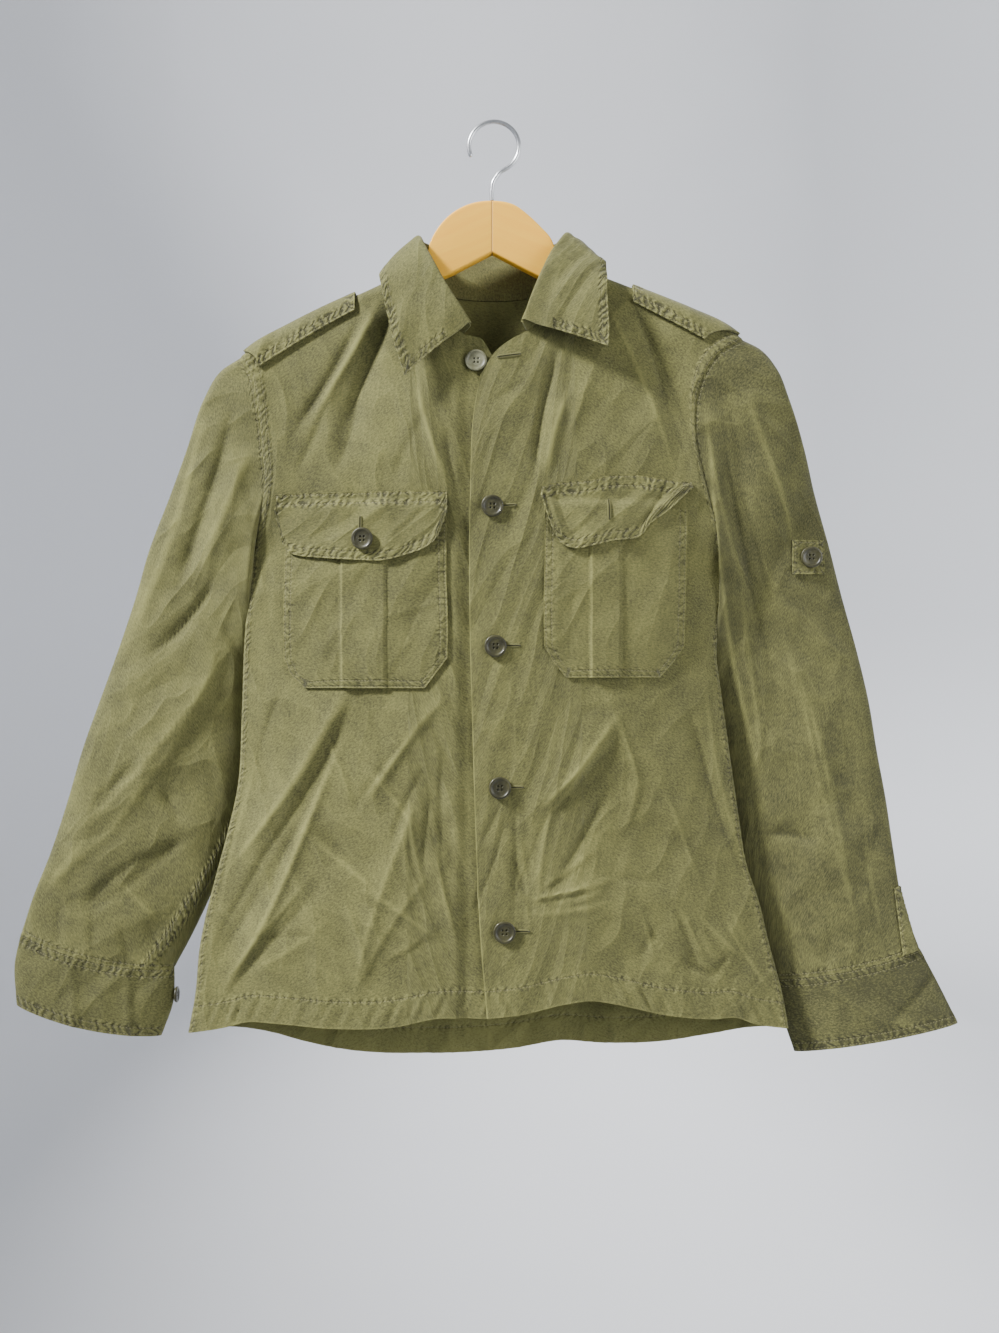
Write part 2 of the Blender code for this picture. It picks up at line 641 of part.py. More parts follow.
def add_solid(name, points, faces, kind, roughness=0.9, metallic=0.0):
    """Make a closed mesh object from millimetres, its faces turned outwards."""
    points = np.asarray(points, float)
    faces = [tuple(int(c) for c in face) for face in faces]
    if closed_volume(points, faces) < 0:
        faces = [face[::-1] for face in faces]
    mesh = bpy.data.meshes.new(name)
    mesh.from_pydata((points * MM).tolist(), [], faces)
    mesh.materials.append(material(name, kind, roughness, metallic))
    mesh.shade_smooth()
    mesh.set_sharp_from_angle(angle=math.radians(50))
    made = bpy.data.objects.new(name, mesh)
    bpy.context.collection.objects.link(made)
    return made


def wall(name, outer, inner, kind="cloth", wrap=False):
    """Closed wall between two grids. Both skins, and rims that face each other across a
    seam, are cut into triangles along the same diagonals, so that they stay apart."""
    rows, columns = outer.shape[:2]
    count = rows * columns
    points = np.vstack([outer.reshape(-1, 3), inner.reshape(-1, 3)])
    faces = []
    for a, b, c, d in quads(rows, columns, wrap):
        faces += [(a, b, c), (a, c, d), (c + count, b + count, a + count),
                  (d + count, c + count, a + count)]
    top = [(0, i) for i in range(columns)]
    bottom = [(rows - 1, i) for i in range(columns)]
    loops = [top, bottom[::-1]]
    if wrap:
        loops = [top + top[:1], bottom[::-1] + bottom[-1:]]
    else:
        loops.append([(j, 0) for j in range(rows)][::-1])
        loops.append([(j, columns - 1) for j in range(rows)])
    for loop in loops:
        for (ja, ia), (jb, ib) in zip(loop, loop[1:]):
            a, b = ja * columns + ia, jb * columns + ib
            if points[a, 2] > points[b, 2]:
                faces += [(a, b, b + count), (a, b + count, a + count)]
            else:
                faces += [(a, b, a + count), (b, b + count, a + count)]
    return add_solid(name, points, faces, kind)


def grid_normals(points, outward):
    """Normals of a free grid, turned to the side that outward points to."""
    down = np.gradient(points, axis=0)
    across = np.gradient(points, axis=1)
    normal = np.cross(down, across)
    normal /= np.linalg.norm(normal, axis=-1, keepdims=True)
    turn = np.sign(np.sum(normal * outward, axis=-1, keepdims=True))
    return normal * turn


def laid(name, base, lift, thickness, outward, kind="cloth"):
    """Piece that lies on a panel: the panel's own points, moved out along its normals."""
    normal = grid_normals(base, outward)
    lift = np.broadcast_to(lift, base.shape[:2])[..., None]
    return wall(name, base + normal * (lift + thickness), base + normal * lift, kind)


def build_body():
    """Fronts, back, sleeves and cuffs, whose seams share their points and normals."""
    top, bottom = (np.s_[0, :], np.s_[1, :]), (np.s_[-1, :], np.s_[-2, :])
    first, last = (np.s_[:, 0], np.s_[:, 1]), (np.s_[:, -1], np.s_[:, -2])
    sleeves = {side: sleeve_grid(side) for side in SIDES}
    pieces = [("back", back_grid(), CLOTH, False, (top, first, last))]
    for side in SIDES:
        cuff = cuff_grid(side, sleeves[side][-1])
        pieces.append(("front_" + side, front_grid(side), CLOTH, False, (top, last)))
        pieces.append(("sleeve_" + side, sleeves[side], CLOTH, True, (top, bottom)))
        pieces.append(("cuff_" + side, cuff, CUFF_CLOTH, True, (top,)))
    normals = shared_normals([(points, wrap) for _, points, _, wrap, _ in pieces])
    for (name, points, thickness, wrap, seams), normal in zip(pieces, normals):
        outer = open_seams(points, normal, seams)
        wall(name, outer, outer - normal * thickness, wrap=wrap)
    return sleeves


def neck_point(place, column):
    """A point of the neck seam on a front or on the back."""
    table = BACK_NECK if place == "back" else NECKLINE[place]
    share = (BACK_NECK_COLUMNS if place == "back" else FRONT_NECK)[column]
    x, z = along(table, np.array([share]))[0]
    face = "back" if place == "back" else "front"
    y = float(body_y(face, np.array([x]), np.array([z]))[0])
    if share in (0, 1):
        y = 0.0
    if place == "left":
        y += float(lap(x))
    return np.array([x, y, z])


def collar_section(place, column, roll, edge):
    """Section of the collar: up the stand, over the roll and down the leaf."""
    seam = neck_point(place, column)
    rise = (roll - seam) / np.linalg.norm(roll - seam)
    seam = seam + rise * COLLAR_RISE
    fall = edge - roll
    out = np.array([fall[0], fall[1], 0.0])
    out /= np.linalg.norm(out)
    stand = [seam + (roll - seam) * u for u in np.linspace(0, STAND_TOP, STAND_STEPS)]
    crest = [roll + (out + np.array([0.0, 0.0, 1.0])) * CREST]
    leaf = []
    for u in np.linspace(LEAF_START, 1.0, LEAF_STEPS):
        crown = LEAF_CROWN * math.sin(math.pi * u) + ROLL_FULLNESS * (1.0 - u)
        leaf.append(roll + fall * u + out * crown)
    return np.array(stand + crest + leaf)


def build_collar():
    sections = []
    for place, column, *lines in COLLAR:
        roll, edge = np.array(lines, float).reshape(2, 3)
        sections.append(collar_section(place, column, roll, edge))
    grid = np.array(sections)
    normal = np.cross(np.gradient(grid, axis=0), np.gradient(grid, axis=1))
    normal /= np.linalg.norm(normal, axis=-1, keepdims=True)
    if normal[len(grid) // 2, 1, 1] > 0:
        normal = -normal
    wall("collar", grid + normal * COLLAR_CLOTH, grid)


def pocket_lift(side, x, z, ease=PLEAT_SIDE):
    """Height that a pocket's puff and pleat add; the pleat's sides fade over the ease."""
    rows = np.array(POCKET[side]["rows"], float)[::-1]
    left = np.interp(z, rows[:, 0], rows[:, 1])
    right = np.interp(z, rows[:, 0], rows[:, 2])
    share = np.clip((x - left) / (right - left), 0, 1)
    height = np.clip((z - rows[0, 0]) / (rows[-1, 0] - rows[0, 0]), 0, 1)
    inside = 16 * share * (1 - share) * height * (1 - height)
    puff = POCKET_PUFF * np.clip(inside, 0, 1) ** PUFF_POWER
    first, last = POCKET[side]["pleat"]
    pleat = PLEAT_RAISE * smooth((x - first) / ease + 1.0) * smooth((last - x) / ease + 1.0)
    return puff + pleat


def build_pocket(side):
    rows = np.array(POCKET[side]["rows"], float)
    first, last = POCKET[side]["pleat"]
    grid = []
    for z, left, right in rows:
        before = np.linspace(left, first - PLEAT_SIDE, POCKET_COLUMNS["beside"])
        pleat = np.linspace(first, last, POCKET_COLUMNS["pleat"])
        after = np.linspace(last + PLEAT_SIDE, right, POCKET_COLUMNS["beside"])
        grid.append([(x, z) for x in (*before, *pleat, *after)])
    flat = np.array(grid)
    x, z = flat[..., 0], flat[..., 1]
    base = np.stack([x, body_y("front", x, z), z], axis=-1)
    raise_by = pocket_lift(side, x, z)
    laid("pocket_" + side, base, LAID_GAP + raise_by, CLOTH, np.array([0.0, -1.0, 0.0]))


def flap_base(side):
    """Grid of a flap: stations across, from its top seam down to its edge."""
    table = np.array(FLAP[side], float)
    x = np.repeat(table[:, 0][None, :], len(FLAP_ROWS), axis=0)
    z = table[:, 1][None, :] + (table[:, 2] - table[:, 1])[None, :] * FLAP_ROWS[:, None]
    base = np.stack([x, body_y("front", x, z), z], axis=-1)
    ends = np.abs(np.linspace(-1, 1, len(table)))[None, :] ** 3
    return base, FLAP_ROWS[:, None], ends


def flap_lift(side, base, down, ends):
    top = POCKET[side]["rows"][0][0]
    over = smooth((top + FLAP_STEP - base[..., 2]) / FLAP_STEP)
    pocket = (pocket_lift(side, base[..., 0], base[..., 2], FLAP_EASE) + CLOTH + FLAP_GAP) * over
    return LAID_GAP + pocket + FLAP_CURL[side] * down**2 * ends


def build_flap(side):
    base, down, ends = flap_base(side)
    laid("flap_" + side, base, flap_lift(side, base, down, ends), FLAP_CLOTH,
         np.array([0.0, -1.0, 0.0]))


def ridge_drop(reach):
    """Drop below the shoulder ridge at a distance measured over its rounded top."""
    quarter = RIDGE_RADIUS * math.pi / 2
    size = np.abs(reach)
    drop = np.where(size < quarter, RIDGE_RADIUS * (1 - np.cos(size / RIDGE_RADIUS)),
                    RIDGE_RADIUS + size - quarter)
    return drop / SHOULDER_COSINE


def over_ridge(side, x, reach):
    """Body point at a distance over the shoulder: positive down the front, negative behind."""
    z = shoulder_line(side, x) - ridge_drop(reach)
    front = -half_depth(side, "front", x, z)
    back = half_depth(side, "back", x, z)
    return np.stack([x, np.where(reach >= 0, front, back), z], axis=-1)


def build_strap(side):
    size = STRAP[side]
    columns = np.linspace(0, 1, STRAP_GRID[1])
    front = size["front"][0] + (size["front"][1] - size["front"][0]) * columns
    behind = size["back"][0] + (size["back"][1] - size["back"][0]) * columns
    rows = np.linspace(0, 1, STRAP_GRID[0])
    reach = front[None, :] - (front + behind)[None, :] * rows[:, None]
    end_height = ARMHOLE[side][0][1] - ridge_drop(reach[:, -1])
    end = body_edge(side, end_height)
    end = end - np.sign(end) * STRAP_INSET
    x = size["start"] + (end[:, None] - size["start"]) * columns[None, :]
    base = over_ridge(side, x, reach)
    laid("strap_" + side, base, STRAP_GAP, STRAP_CLOTH, base - np.array(INSIDE))


def disc(name, centre, normal, size=BUTTON_RADIUS):
    """Button: a turned disc with a raised rim and a dished face."""
    normal = normal / np.linalg.norm(normal)
    side = np.cross(normal, np.array([0.0, 0.0, 1.0]))
    side /= np.linalg.norm(side)
    up = np.cross(side, normal)
    points = [centre]
    rings = BUTTON_PROFILE[1:-1]
    angles = np.arange(BUTTON_SIDES) * 2 * math.pi / BUTTON_SIDES
    for radius, height in rings:
        for angle in angles:
            points.append(centre + normal * height * BUTTON_HEIGHT + size * radius
                          * (side * math.cos(angle) + up * math.sin(angle)))
    points.append(centre + normal * BUTTON_PROFILE[-1][1] * BUTTON_HEIGHT)
    last = len(points) - 1
    faces = []
    for i in range(BUTTON_SIDES):
        k = (i + 1) % BUTTON_SIDES
        faces.append((0, 1 + k, 1 + i))
        for ring in range(len(rings) - 1):
            a, b = 1 + ring * BUTTON_SIDES, 1 + (ring + 1) * BUTTON_SIDES
            faces.append((a + i, a + k, b + k, b + i))
        a = 1 + (len(rings) - 1) * BUTTON_SIDES
        faces.append((a + i, a + k, last))
    return add_solid(name, np.array(points), faces, "button", 0.35)


def seat_disc(name, surface, x, z):
    """Put a button on a surface so that the highest cloth under it is just cleared."""
    step = BUTTON_RADIUS * BUTTON_FOOT
    spots = [(0.0, 0.0)]
    for turn in np.arange(BUTTON_SIDES) * 2 * math.pi / BUTTON_SIDES:
        spots.append((step * math.cos(turn), step * math.sin(turn)))
        spots.append((BUTTON_RADIUS * math.cos(turn), BUTTON_RADIUS * math.sin(turn)))
    spots = np.array(spots)
    y = surface(x + spots[:, 0], z + spots[:, 1])
    plane = np.column_stack([spots, np.ones(len(spots))])
    slope_x, slope_z, level = np.linalg.lstsq(plane, y, rcond=None)[0]
    above = np.max(slope_x * spots[:, 0] + slope_z * spots[:, 1] + level - y)
    normal = np.array([slope_x, -1.0, slope_z])
    centre = np.array([x, level - above - BUTTON_GAP, z])
    return disc(name, centre, normal)


def on_front(x, z):
    return body_y("front", x, z)


def on_under_lap(x, z):
    return body_y("front", x, z) + lap(x)


def on_flap(x, z):
    lift = pocket_lift("left", x, z, FLAP_EASE)
    return body_y("front", x, z) - (LAID_GAP + FLAP_GAP + CLOTH + FLAP_CLOTH + lift)


def ring_surface(rings, thickness):
    """Function that gives y of a tube's front skin over x, z, less a thickness laid on it."""
    faces = quads(rings.shape[0], rings.shape[1], True).tolist()
    tree = BVHTree.FromPolygons(rings.reshape(-1, 3).tolist(), faces)

    def surface(x, z):
        hits = [tree.ray_cast((px, -RAY, pz), (0, 1, 0))[0].y
                for px, pz in zip(np.ravel(x), np.ravel(z))]
        return np.reshape(hits, np.shape(x)) - thickness
    return surface


def build_patch(sleeves):
    """Square of cloth sewn on the right sleeve under its roll-up button."""
    x, z = np.meshgrid(np.linspace(*SLEEVE_PATCH["x"], PATCH_POINTS),
                       np.linspace(*SLEEVE_PATCH["z"], PATCH_POINTS)[::-1])
    base = np.stack([x, ring_surface(sleeves["right"], 0.0)(x, z), z], axis=-1)
    laid("sleeve_patch", base, LAID_GAP, PATCH_CLOTH, np.array([0.0, -1.0, 0.0]))


def build_buttons(sleeves):
    on_patch = ring_surface(sleeves["right"], LAID_GAP + PATCH_CLOTH)
    surfaces = {"button_top": on_under_lap, "button_pocket": on_flap, "button_sleeve": on_patch}
    for name, (x, z) in BUTTONS.items():
        seat_disc(name, surfaces.get(name, on_front), x, z)
    for name, (centre, facing, radius) in CUFF_BUTTONS.items():
        disc(name, np.array(centre), np.array(facing), radius)


def tube(name, path, radius, sides, kind):
    """Round wire along a path in the plane y = 0, closed by flat ends."""
    path = np.asarray(path, float)
    tangent = np.gradient(path, axis=0)
    tangent /= np.linalg.norm(tangent, axis=1)[:, None]
    points = []
    for (x, z), (tx, tz) in zip(path, tangent):
        for k in range(sides):
            angle = 2 * math.pi * k / sides
            points.append((x - tz * radius * math.cos(angle), radius * math.sin(angle),
                           z + tx * radius * math.cos(angle)))
    faces = []
    for j in range(len(path) - 1):
        for k in range(sides):
            a, b = j * sides + k, j * sides + (k + 1) % sides
            faces.append((a, b, b + sides, a + sides))
    faces.append(tuple(range(sides))[::-1])
    faces.append(tuple(range((len(path) - 1) * sides, len(path) * sides)))
    return add_solid(name, points, faces, kind, 0.3, 1.0)


def build_hook():
    stem = along(HOOK_STEM, np.linspace(0, 1, STEM_POINTS))
    angles = np.radians(np.linspace(HOOK_START, HOOK_END, BEND_POINTS))
    centre = HOOK_WIRE - HOOK_RADIUS
    ring = np.column_stack([HOOK_RADIUS * np.cos(angles),
                            centre + HOOK_RADIUS * np.sin(angles)])
    route = along(np.vstack([stem, ring]), np.linspace(0, 1, HOOK_POINTS))
    tube("hanger_hook", route, HOOK_WIRE, HOOK_SIDES, "steel")


def wood_outline():
    """Top and bottom edges of the hanger's wood, station by station from left to right."""
    arms = {}
    for side in SIDES:
        x = np.linspace(ARM_END[side], ARM_INNER[side], ARM_STATIONS)
        gap = np.interp(np.abs(x), *WOOD_TOP_GAP)
        arms[side] = np.column_stack([x, shoulder_line(side, x) - gap])
    top = np.vstack([arms["left"], ARCH, arms["right"][::-1]])
    reach = np.abs(top[:, 0])
    arm = top[:, 1] - np.interp(reach, ARM_REACH, ARM_DEPTH)
    chevron = CHEVRON[1] - CHEVRON_SLOPE * np.abs(top[:, 0] - CHEVRON[0])
    return top, chevron + (arm - chevron) * smooth((reach - CHEVRON_END) / CHEVRON_FADE)


def build_wood():
    """Contoured wooden hanger: a flat board with eased edges, an octagon in section."""
    top, bottom = wood_outline()
    half, ease = WOOD_HALF_THICKNESS, WOOD_EDGE
    points = []
    for (x, high), low in zip(top, bottom):
        for y, z in ((-half + ease, high), (-half, high - ease), (-half, low + ease),
                     (-half + ease, low), (half - ease, low), (half, low + ease),
                     (half, high - ease), (half - ease, high)):
            points.append((x, y, z))
    faces = []
    for j in range(len(top) - 1):
        for k in range(8):
            a, b = j * 8 + k, j * 8 + (k + 1) % 8
            faces.append((a, b, b + 8, a + 8))
    faces.append(tuple(range(8))[::-1])
    faces.append(tuple(range((len(top) - 1) * 8, len(top) * 8)))
    add_solid("hanger_wood", points, faces, "wood", 0.45)


def build():
    for old in list(bpy.data.objects):
        bpy.data.objects.remove(old)
    sleeves = build_body()
    build_collar()
    for side in SIDES:
        build_pocket(side)
        build_flap(side)
        build_strap(side)
    build_patch(sleeves)
    build_buttons(sleeves)
    build_wood()
    build_hook()


build()
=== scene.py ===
"""Looks of a military utility shirt that hangs on a wooden hanger.

Lengths are millimetres until a mesh is made. +X is to the right as the front is seen, the
front faces -Y, +Z is up, and the origin is the inside top of the hanger's hook. Left and
right are as seen from the front. Each cloth piece is a thin shell on a grid of points that
is worked out from its outline, the body's depth and its folds.
"""

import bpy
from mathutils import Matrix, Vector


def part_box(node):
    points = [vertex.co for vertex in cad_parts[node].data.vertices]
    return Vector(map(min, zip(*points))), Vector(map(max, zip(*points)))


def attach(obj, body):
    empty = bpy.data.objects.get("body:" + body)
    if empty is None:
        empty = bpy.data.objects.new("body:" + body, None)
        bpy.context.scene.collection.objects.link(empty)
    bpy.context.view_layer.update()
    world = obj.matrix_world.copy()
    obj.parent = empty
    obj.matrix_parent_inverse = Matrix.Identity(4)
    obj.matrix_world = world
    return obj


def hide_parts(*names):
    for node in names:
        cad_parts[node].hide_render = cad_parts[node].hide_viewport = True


bl_info = {
    "name": "Utility Shirt on a Hanger",
    "version": (1, 0, 0),
    "blender": (4, 5, 0),
    "location": "3D View > Sidebar > Shirt",
    "description": "Makes the cloth, buttons, seams and hanger of a military utility shirt",
    "category": "Add Mesh",
}

import math

import bmesh
import bpy
import numpy as np
from bpy.props import FloatProperty, FloatVectorProperty, PointerProperty
from mathutils import Vector

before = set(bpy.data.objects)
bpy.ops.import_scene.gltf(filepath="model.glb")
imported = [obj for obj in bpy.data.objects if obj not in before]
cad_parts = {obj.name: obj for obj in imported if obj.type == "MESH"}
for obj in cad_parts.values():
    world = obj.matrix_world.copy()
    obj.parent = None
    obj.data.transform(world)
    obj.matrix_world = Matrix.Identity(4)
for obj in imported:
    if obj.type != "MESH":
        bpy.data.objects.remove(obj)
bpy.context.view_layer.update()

MM = 0.001

# A distance that no point of a piece has from its edges.
FAR = 1000.0

SIDES = ("left", "right")
OUT_FRONT = np.array([0.0, -1.0, 0.0])
OUT_BACK = np.array([0.0, 1.0, 0.0])
UP = np.array([0.0, 0.0, 1.0])

# Angles in degrees past which an edge stays sharp, on cloth and on buttons and hanger.
CLOTH_SHARP = 50
RING_SHARP = 60

# Thickness of the cloth pieces, and the gaps under the ones that lie on another.
CLOTH = 1.1
FLAP_CLOTH = 1.5
COLLAR_CLOTH = 1.8
CUFF_CLOTH = 1.7
STRAP_CLOTH = 2.0
PATCH_CLOTH = 1.2
LAID_GAP = 0.8
FLAP_GAP = 1.2
STRAP_GAP = 1.1

# Depth of the hanging body: radius over the hanger, then how far front, back and armholes
# stand out and over what drop, how thin the body is at its side seams and how that depth
# grows and closes near them, and how far the left front's edge lies behind the right front.
RIDGE_RADIUS = 9.0
FRONT_SWELL = 31.0
BACK_SWELL = 24.0
SWELL_LENGTH = 110.0
ARMHOLE_SWELL = 7.0
ARMHOLE_SWELL_LENGTH = 40.0
SHOULDER_COSINE = 0.89
EDGE_DEPTH = 5.0
EDGE_RISE = 60.0
EDGE_CLOSING = 40.0
EDGE_ROUND = 6.0
EDGE_CURVE = 2.2
MIDDLE_BLEND = 30.0
UNDER_LAP = 3.4
LAP_EDGE = -34.0
LAP_FADE = 12.0

# Creases: how far they fade at the side and under the shoulder, how they bow and lean, the
# shape of their crests, how pale their crests are made by wear and a painted highlight, and
# how dark their troughs are made by painted shade.
LOOSE_FROM_EDGE = 40.0
LOOSE_FROM_RIDGE = 45.0
FOLD_BOW = 0.03
FOLD_LEAN = 0.45
CREST_ROUND = 0.2
CREST_PINCH = 1.25
CREASE_WEAR_AND_SHADING_WIDTH = 1.9
CREASE_WEAR_AND_SHADING_HEIGHT = 2.5
TROUGH_SHADE = 0.35

# Outline tables, one row a point: x, z.
ARMHOLE = {
    "left": [(-223, -206), (-212, -221), (-207.5, -240), (-204, -262), (-201.5, -289),
             (-199.5, -316), (-202, -338), (-207, -360), (-213, -384)],
    "right": [(219, -190.5), (193, -207), (182, -224), (176.5, -241), (174.5, -262),
              (177, -288), (183, -315), (191, -346), (199, -376), (204.5, -406)],
}
SIDE_SEAM = {
    "left": [(-213, -384), (-216.5, -419), (-219.5, -454), (-222, -521), (-225.6, -583),
             (-235, -625), (-246, -666), (-254, -698), (-259, -724), (-263, -766),
             (-269, -799)],
    "right": [(204.5, -406), (198.5, -438), (195.5, -462), (200, -504), (206.5, -550),
              (216, -615), (222, -651), (232.5, -682), (242, -721), (254.5, -769),
              (259, -795)],
}
SHOULDER = {
    "left": [(-73, -128), (-110, -146), (-144, -161), (-182, -180), (-210, -195.5),
             (-223, -206)],
    "right": [(71, -125.2), (110, -140), (137, -150.5), (172, -164.5), (205, -180),
              (219, -190.5)],
}
NECKLINE = {
    "left": [(10, -232), (-2, -208), (-11, -194), (-26, -189.5), (-47, -174), (-61, -152),
             (-68, -137), (-73, -128)],
    "right": [(-11.5, -226), (2, -205), (17, -193.5), (27, -188), (46, -171), (59, -149),
              (66, -134), (71, -125.2)],
}
FRONT_EDGE = {
    "left": [(10, -232), (12, -300), (12, -430), (14, -560), (18, -680), (22, -777)],
    "right": [(-11.5, -226), (-16.5, -252), (-20.5, -330),
              (-21, -430), (-18.5, -531), (-16, -615), (-11.5, -712), (-6, -778)],
}
FRONT_HEM = {
    "left": [(22, -777), (-6, -778.5), (-47, -778), (-86, -786), (-140, -788.5),
             (-190, -786), (-214, -786), (-235, -792), (-269, -799)],
    "right": [(-6, -778), (22, -775), (62, -766), (84, -763.5), (105, -767), (149, -777.5),
              (190, -782.5), (211, -782.5), (225, -788), (259, -795)],
}
BACK_NECK = [(-73, -128), (-67.5, -136), (-59, -142.5), (-45, -148), (-25, -151.5),
             (-1, -152.5), (23, -151.5), (43, -147.5), (57, -140.5), (65.5, -133),
             (71, -125.2)]
BACK_HEM = [(-269, -799), (-235, -797), (-197, -804), (-171, -812.5), (-140, -820),
            (-105, -824.5), (-61, -825.5), (-17, -824.5), (22, -821), (61, -814),
            (92, -815.5), (150, -813), (192, -805), (230, -797), (259, -795)]

# Sleeve edges as they hang, from the shoulder tip and the underarm down to the cuff.
SLEEVE_OUTER = {
    "left": [(-223, -206), (-241, -218), (-255, -241), (-271, -285), (-289, -329),
             (-307, -374), (-320, -418), (-335, -463), (-351, -507), (-367, -552),
             (-379.5, -596), (-394, -641), (-411, -685), (-420, -714)],
    "right": [(219, -190.5), (234, -198), (250, -217), (260, -241), (274.5, -285),
              (286, -329), (299, -374), (310.5, -418), (323, -463), (333.5, -507),
              (341, -552), (349, -596), (355.5, -641), (363, -685), (378, -728)],
}
SLEEVE_INNER = {
    "left": [(-213, -384), (-212.5, -402), (-214, -430), (-216, -460), (-218.5, -505),
             (-221, -552), (-226, -596), (-237.5, -641), (-247, -668), (-262, -702),
             (-273, -724), (-284.5, -745)],
    "right": [(204.5, -406), (199.5, -424), (194.5, -450), (194, -480), (197.5, -507),
              (204, -552), (210, -596), (217, -641), (229.5, -686), (239, -721),
              (249, -754)],
}
CUFF_OUTER = {
    "left": [(-420, -714), (-426, -742), (-424, -778)],
    "right": [(378, -728), (394, -758), (412, -794)],
}
CUFF_INNER = {
    "left": [(-284.5, -745), (-285.5, -775), (-296, -805)],
    "right": [(249, -754), (256, -785), (267, -819)],
}

# Power that spaces a sleeve's rings, the share of its length over which they leave the
# armhole's shape, the shares over which folds fade at its two ends, and how strong they are
# behind. Then how far the cuff's seam and hem bow down.
SLEEVE_SPACING = 1.12
SLEEVE_LEAVE = 0.24
SLEEVE_LOOSE = (0.12, 0.06)
SLEEVE_BACK_FOLDS = 0.6
CUFF_SEAM_DIP = {"left": 8.0, "right": 4.0}
CUFF_HEM_DIP = {"left": 6.0, "right": 2.0}

# A sleeve's depth: share of its length, y of its middle, half depth.
SLEEVE_DEPTH = [(0.0, 0.0, 15.0), (0.08, 0.6, 15.0), (0.16, 4.0, 15.0), (0.26, 13.0, 15.0),
                (0.4, 17.0, 14.5), (0.7, 17.0, 14.0), (1.0, 14.0, 12.0)]

